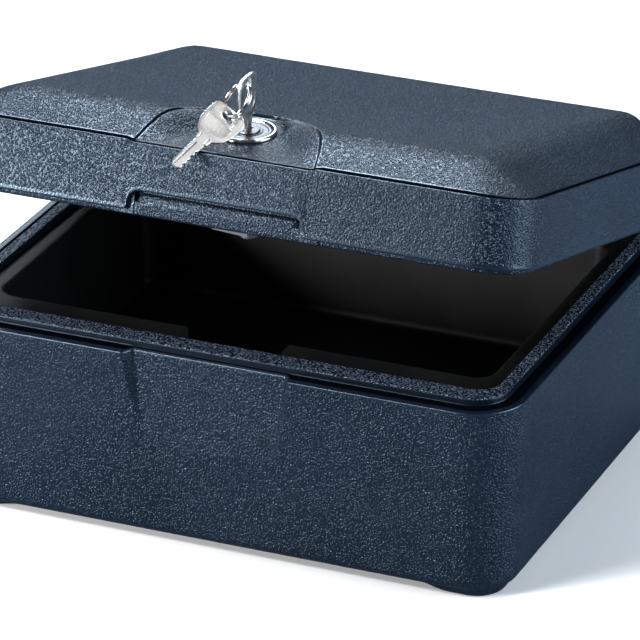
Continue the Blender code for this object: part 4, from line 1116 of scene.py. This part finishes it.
def build_lock():
    bezel = [(13.3, 0.3, 0), (16.4, 0.3, 0.2), (16.35, 1.1, 0.5), (15.3, 2.0, 0.6)]
    bezel += [(14.5, 2.0, 0.3), (13.9, 1.35, 0.3), (13.3, 1.2, 0.2)]
    mesh = turned_mesh(bezel, 128, closed=True)
    add_piece("polished_bezel", mesh, LOCK, "lid", CHROME, "lock_bezel")
    body = [(6.5, 1.05, 0.25), (6.5, -54, 0.3), (9.0, -54, 0.5), (9.0, 0.3, 0.1), (13.0, 0.3, 0.1)]
    body += [(13.0, 1.3, 0.35), (11.6, 1.3, 0.2), (11.2, 0.95, 0.2), (8.6, 0.95, 0.4)]
    body += [(8.0, 1.3, 0.3)]
    mesh = turned_mesh(body, closed=True)
    grooves = []
    for half_x, half_y in ((WARD_HALF, WARD_REACH), (WARD_REACH, WARD_HALF)):
        low = (-half_x, -half_y, -WAFER_DEPTHS[-1] - 1.5)
        grooves.append(block(low, (half_x, half_y, 1.5 - WAFER_DEPTHS[0]), 0))
    mesh = carve(mesh, cut=grooves)
    add_piece("lock_face", mesh, LOCK, "lid", SHADED_CHROME, "lock_body")
    plug = [(0, 1.7, 0), (5.6, 1.7, 0), (PLUG_RADIUS, 1.7, 0.5), (PLUG_RADIUS, -55, 0.3)]
    shaft = turned_mesh([*plug, (0, -55, 0)])
    tail = block((-3.5, -3.5, -59.8), (3.5, 3.5, -53), 0.4, 2)
    keyway = block((-1.2, -3.5, -19), (1.2, 3.5, 5), 0.25, 2)
    mouth = block((-1.9, -4.2, 1.25), (1.9, 4.2, 5), 0.3, 2)
    thread = rod_mesh(1.8, -47, -70, 32)
    cuts = [keyway, mouth, thread]
    for depth in WAFER_DEPTHS:
        low, high = -depth - WAFER_SLOT_HALF, -depth + WAFER_SLOT_HALF
        cuts.append(block((-2.5, -7, low), (2.5, 7, high), 0))
        cuts.append(block((2.2, -4, low - 0.01), (4.6, 1.6, high + 0.01), 0))
    mesh = carve(shaft, add=[tail], cut=cuts)
    add_piece("turning_plug", mesh, LOCK, "plug", PLUG_METAL, "lock_plug")


# ---- keys and ring

def drawn_span(p0, p1, p2, p3, steps):
    """Points from p1 almost to p2, on a smooth curve through all four (Catmull-Rom)."""
    p0, p1, p2, p3 = (Vector(p) for p in (p0, p1, p2, p3))
    square = 2 * p0 - 5 * p1 + 4 * p2 - p3
    cube = 3 * p1 - 3 * p2 + p3 - p0
    found = []
    for k in range(steps):
        t = k / steps
        found.append(0.5 * (2 * p1 + (p2 - p0) * t + square * t * t + cube * t**3))
    return found


def smooth_loop(points):
    """A closed loop through the points, rounded like a drawn curve."""
    found = []
    for i in range(len(points)):
        found += drawn_span(*(points[(i + k) % len(points)] for k in (-1, 0, 1, 2)), 6)
    return found


def key_outline():
    """The key's outline with its hole at the origin and its tip towards -Y."""
    bow = [(4.4, -20.6), (6.6, -18.6), (9.0, -15.2), (10.3, -10.5), (10.8, -5.0), (10.7, -0.2)]
    bow += [(9.6, 3.0), (6.6, 4.35), (2.4, 4.6)]
    points = bow + [(-x, y) for x, y in reversed(bow)]
    rounded = []
    for four in zip(points, points[1:], points[2:], points[3:]):
        rounded += drawn_span(*four, 4)
    shank_left = [(-6.6, -18.6), (-4.5, -20.4), (-4.4, -23.6), (-SHANK_HALF, -24.8)]
    shank_left += [(-SHANK_HALF, -44.6)]
    tip = [(-1.4, -47.2), (1.5, -47.2), (SHANK_HALF, -45.3)]
    bitting = []
    for start, cut in ((-43.7, 1.0), (-40.1, 0.5), (-36.5, 1.2), (-32.9, 0.7)):
        for depth, along in ((0, 0), (cut, 0.8), (cut, 1.6), (0, 2.4)):
            bitting.append((SHANK_HALF - depth, start + along))
    shank_right = [(SHANK_HALF, -24.8), (4.4, -23.6), (4.5, -20.4)]
    return [tuple(p) for p in rounded] + shank_left + tip + bitting + shank_right


def key_piece_mesh():
    """A key blank with its hole, milled groove, slits at the bow's root and sunk panels."""
    mesh = plate_mesh([key_outline(), hole_loop(KEY_HOLE, 40)], KEY_THICKNESS, 0.22)
    panel = [(7.2, -6.0), (8.1, -9.0), (6.6, -14.0), (0, -16.6), (-6.6, -14.0), (-8.1, -9.0)]
    panel += [(-7.2, -6.0), (0, -5.2)]
    cuts = []
    for face in (-1, 1):
        low, high = sorted((face * 0.62, face * 2.0))
        cuts.append(block((-1.9, -48, low), (-0.5, -26, high), 0.2, 2))
        slit_low = low - 0.15 * (face > 0)
        for side in (-1, 1):
            near, far = sorted((side * 2.1, side * 3.2))
            cuts.append(block((near, -25.2, slit_low), (far, -19.5, high), 0.3, 2))
        sunk = plate_mesh([smooth_loop(panel)], 0.8, 0.1)
        sunk.transform(Matrix.Translation((0, 0, face * 1.14 * MM)))
        cuts.append(sunk)
    return carve(mesh, cut=cuts)


def turn_from(columns):
    """The turn whose X, Y and Z axes are the given columns."""
    return Matrix(columns).transposed().to_4x4()


def ring_path(turns=1.92, pitch=1.54, steps=72):
    """The split ring's wire, from end to end, hanging below the origin."""
    points = []
    count = int(turns * steps)
    for i in range(count + 1):
        angle = -math.pi / 2 - math.pi * turns + 2 * math.pi * turns * i / count
        x, y = RING_RADIUS * math.cos(angle), RING_RADIUS * math.sin(angle)
        points.append((x, RING_RADIUS + y, pitch * turns * (i / count - 0.5)))
    return points


def square_to(axis, vector):
    """The unit vector nearest to the given one that stands square to the axis."""
    return (vector - vector.dot(axis) * axis).normalized()


def build_keys():
    upright = turn_from(((0, -1, 0), (0, 0, 1), (-1, 0, 0)))
    mesh = key_piece_mesh()
    matrix = LOCK @ placed(KEY_HOLE_AT) @ upright
    add_piece("inserted_key", mesh, matrix, "inserted_key", NICKEL, "key_in_lock")

    down = Vector((-0.341, -0.519, -0.784)).normalized()
    across = square_to(down, Vector((0.766, -0.643, 0)))
    wire = {"bevel_depth": RING_WIRE * MM, "bevel_resolution": 5, "use_fill_caps": True}
    mesh = curve_mesh([ring_path()], closed=False, dimensions="3D", **wire)
    matrix = LOCK @ placed(KEY_HOLE_AT) @ turn_from((across, down, across.cross(down)))
    add_piece("split_ring", mesh, matrix, "ring", RING_STEEL, "key_ring")

    along = -Vector((-0.273, -0.910, -0.311)).normalized()
    face = square_to(along, Vector((0.34, -0.72, 0.60)))
    mesh = key_piece_mesh()
    spare_hole = KEY_HOLE_AT + 2 * RING_RADIUS * down
    matrix = LOCK @ placed(spare_hole) @ turn_from((along.cross(face), along, face))
    add_piece("second_key", mesh, matrix, "spare", NICKEL, "spare_key")


# ---- carried-over CAD nodes

def dress_cad_nodes():
    """Procedural finishes and softened edges on the small parts kept from the CAD model."""
    for material, names in CAD_NODE_MATERIALS:
        for name in names:
            obj = nodes[name]
            obj.data.materials.clear()
            obj.data.materials.append(material)
            if material in (ZINC, DULL_ZINC, BRASS):
                bevel = obj.modifiers.new("soft_edges", "BEVEL")
                bevel.width = 0.12 * MM
                bevel.segments = 2
                bevel.limit_method = "ANGLE"
                bevel.angle_limit = SHARP_ANGLE


# ---- floor, light and camera

AIM = Vector((0, 0, 0.12))
WHITE = (1.0, 1.0, 1.0)
COOL = (0.80, 0.90, 1.0)
# Soft lights: (name, place in metres, width, height, watts, colour).
LIGHTS = (
    ("key", (-0.70, -1.15, 1.45), 0.42, 0.42, 28, WHITE),
    ("front_left", (-0.80, -1.05, 0.38), 0.24, 0.24, 26, WHITE),
    ("overhead", (-0.75, 0.85, 1.9), 0.5, 0.5, 44, COOL),
    ("backdrop", (-0.7, 2.1, 1.35), 1.4, 0.5, 18, COOL),
    ("right_fill", (1.7, 0.1, 0.6), 1.2, 1.2, 52, COOL),
    ("key_card", (1.0, 0.2, 1.95), 0.9, 0.9, 2.8, WHITE),
)
# What the floor looks like in reflections, and what lights the object from all round.
FLOOR_REFLECTED = (0.10, 0.14, 0.19)
ROOM_LIGHT = (0.05, 0.055, 0.065)


def add_light(name, position, width, height, power, colour):
    data = bpy.data.lights.new(name, "AREA")
    data.energy = power
    data.color = colour
    data.shape = "RECTANGLE"
    data.size = width
    data.size_y = height
    obj = linked(name, data)
    obj.location = position
    obj.rotation_euler = (AIM - Vector(position)).to_track_quat("-Z", "Y").to_euler()


def floor_material():
    """A pale floor that glows to white far away, and is darker in reflections."""
    n = Nodes("pale_floor")
    tone = n.mix(n.noise(0.004, 3.0), (0.80, 0.80, 0.80), (0.84, 0.84, 0.84))
    path = n.add("ShaderNodeLightPath")
    tone = n.mix(path.outputs["Is Glossy Ray"], tone, FLOOR_REFLECTED)
    far = n.vector("LENGTH", {0: n.place})["Value"]
    glow = n.times(n.span(far, 0.5, 2.0), path.outputs["Is Camera Ray"])
    return n.finish(
        Base_Color=tone,
        Roughness=0.9,
        Specular_IOR_Level=0.1,
        Emission_Color=WHITE,
        Emission_Strength=glow,
    )


def build_stage():
    bm = bmesh.new()
    bmesh.ops.create_grid(bm, x_segments=1, y_segments=1, size=30)
    mesh = mesh_from(bm)
    mesh.materials.append(floor_material())
    linked("floor", mesh)

    # A white backdrop to the camera, and a dim even light to the object.
    world = bpy.data.worlds.new("studio")
    bpy.context.scene.world = world
    world.use_nodes = True
    tree = world.node_tree
    path = tree.nodes.new("ShaderNodeLightPath")
    mix = tree.nodes.new("ShaderNodeMix")
    mix.data_type = "RGBA"
    mix.inputs[6].default_value = (*ROOM_LIGHT, 1)
    mix.inputs[7].default_value = (*WHITE, 1)
    tree.links.new(path.outputs["Is Camera Ray"], mix.inputs[0])
    tree.links.new(mix.outputs[2], tree.nodes["Background"].inputs["Color"])

    for light in LIGHTS:
        add_light(*light)


# The camera fitted to the photograph: its place in millimetres from the middle of the base's
# plan, its direction in degrees, and its focal length in pixels of a 640-pixel image.
CAMERA_AT = Vector((1060.12, -2454.78, 1311.61))
AZIMUTH = math.radians(23.2)
ELEVATION = math.radians(24.67)
ROLL = math.radians(-0.214)
FOCAL_PIXELS = 5150.4
IMAGE_PIXELS = 640
SENSOR_MM = 36


def build_camera():
    tilt = Matrix.Rotation(math.pi / 2 - ELEVATION, 4, "X")
    turn = Matrix.Rotation(AZIMUTH, 4, "Z") @ tilt @ Matrix.Rotation(ROLL, 4, "Z")
    data = bpy.data.cameras.new("camera")
    data.sensor_width = SENSOR_MM
    data.lens = FOCAL_PIXELS / IMAGE_PIXELS * SENSOR_MM
    data.clip_end = 50
    camera = linked("camera", data)
    camera.matrix_world = placed(CAMERA_AT + FRAME_SHIFT) @ turn
    bpy.context.scene.camera = camera


build_base_shell()
build_base_liner()
build_lid_shell()
build_lid_liner()
build_lock()
build_keys()
dress_cad_nodes()
build_stage()
build_camera()
bpy.context.scene.view_settings.view_transform = "Standard"

bpy.context.view_layer.update()
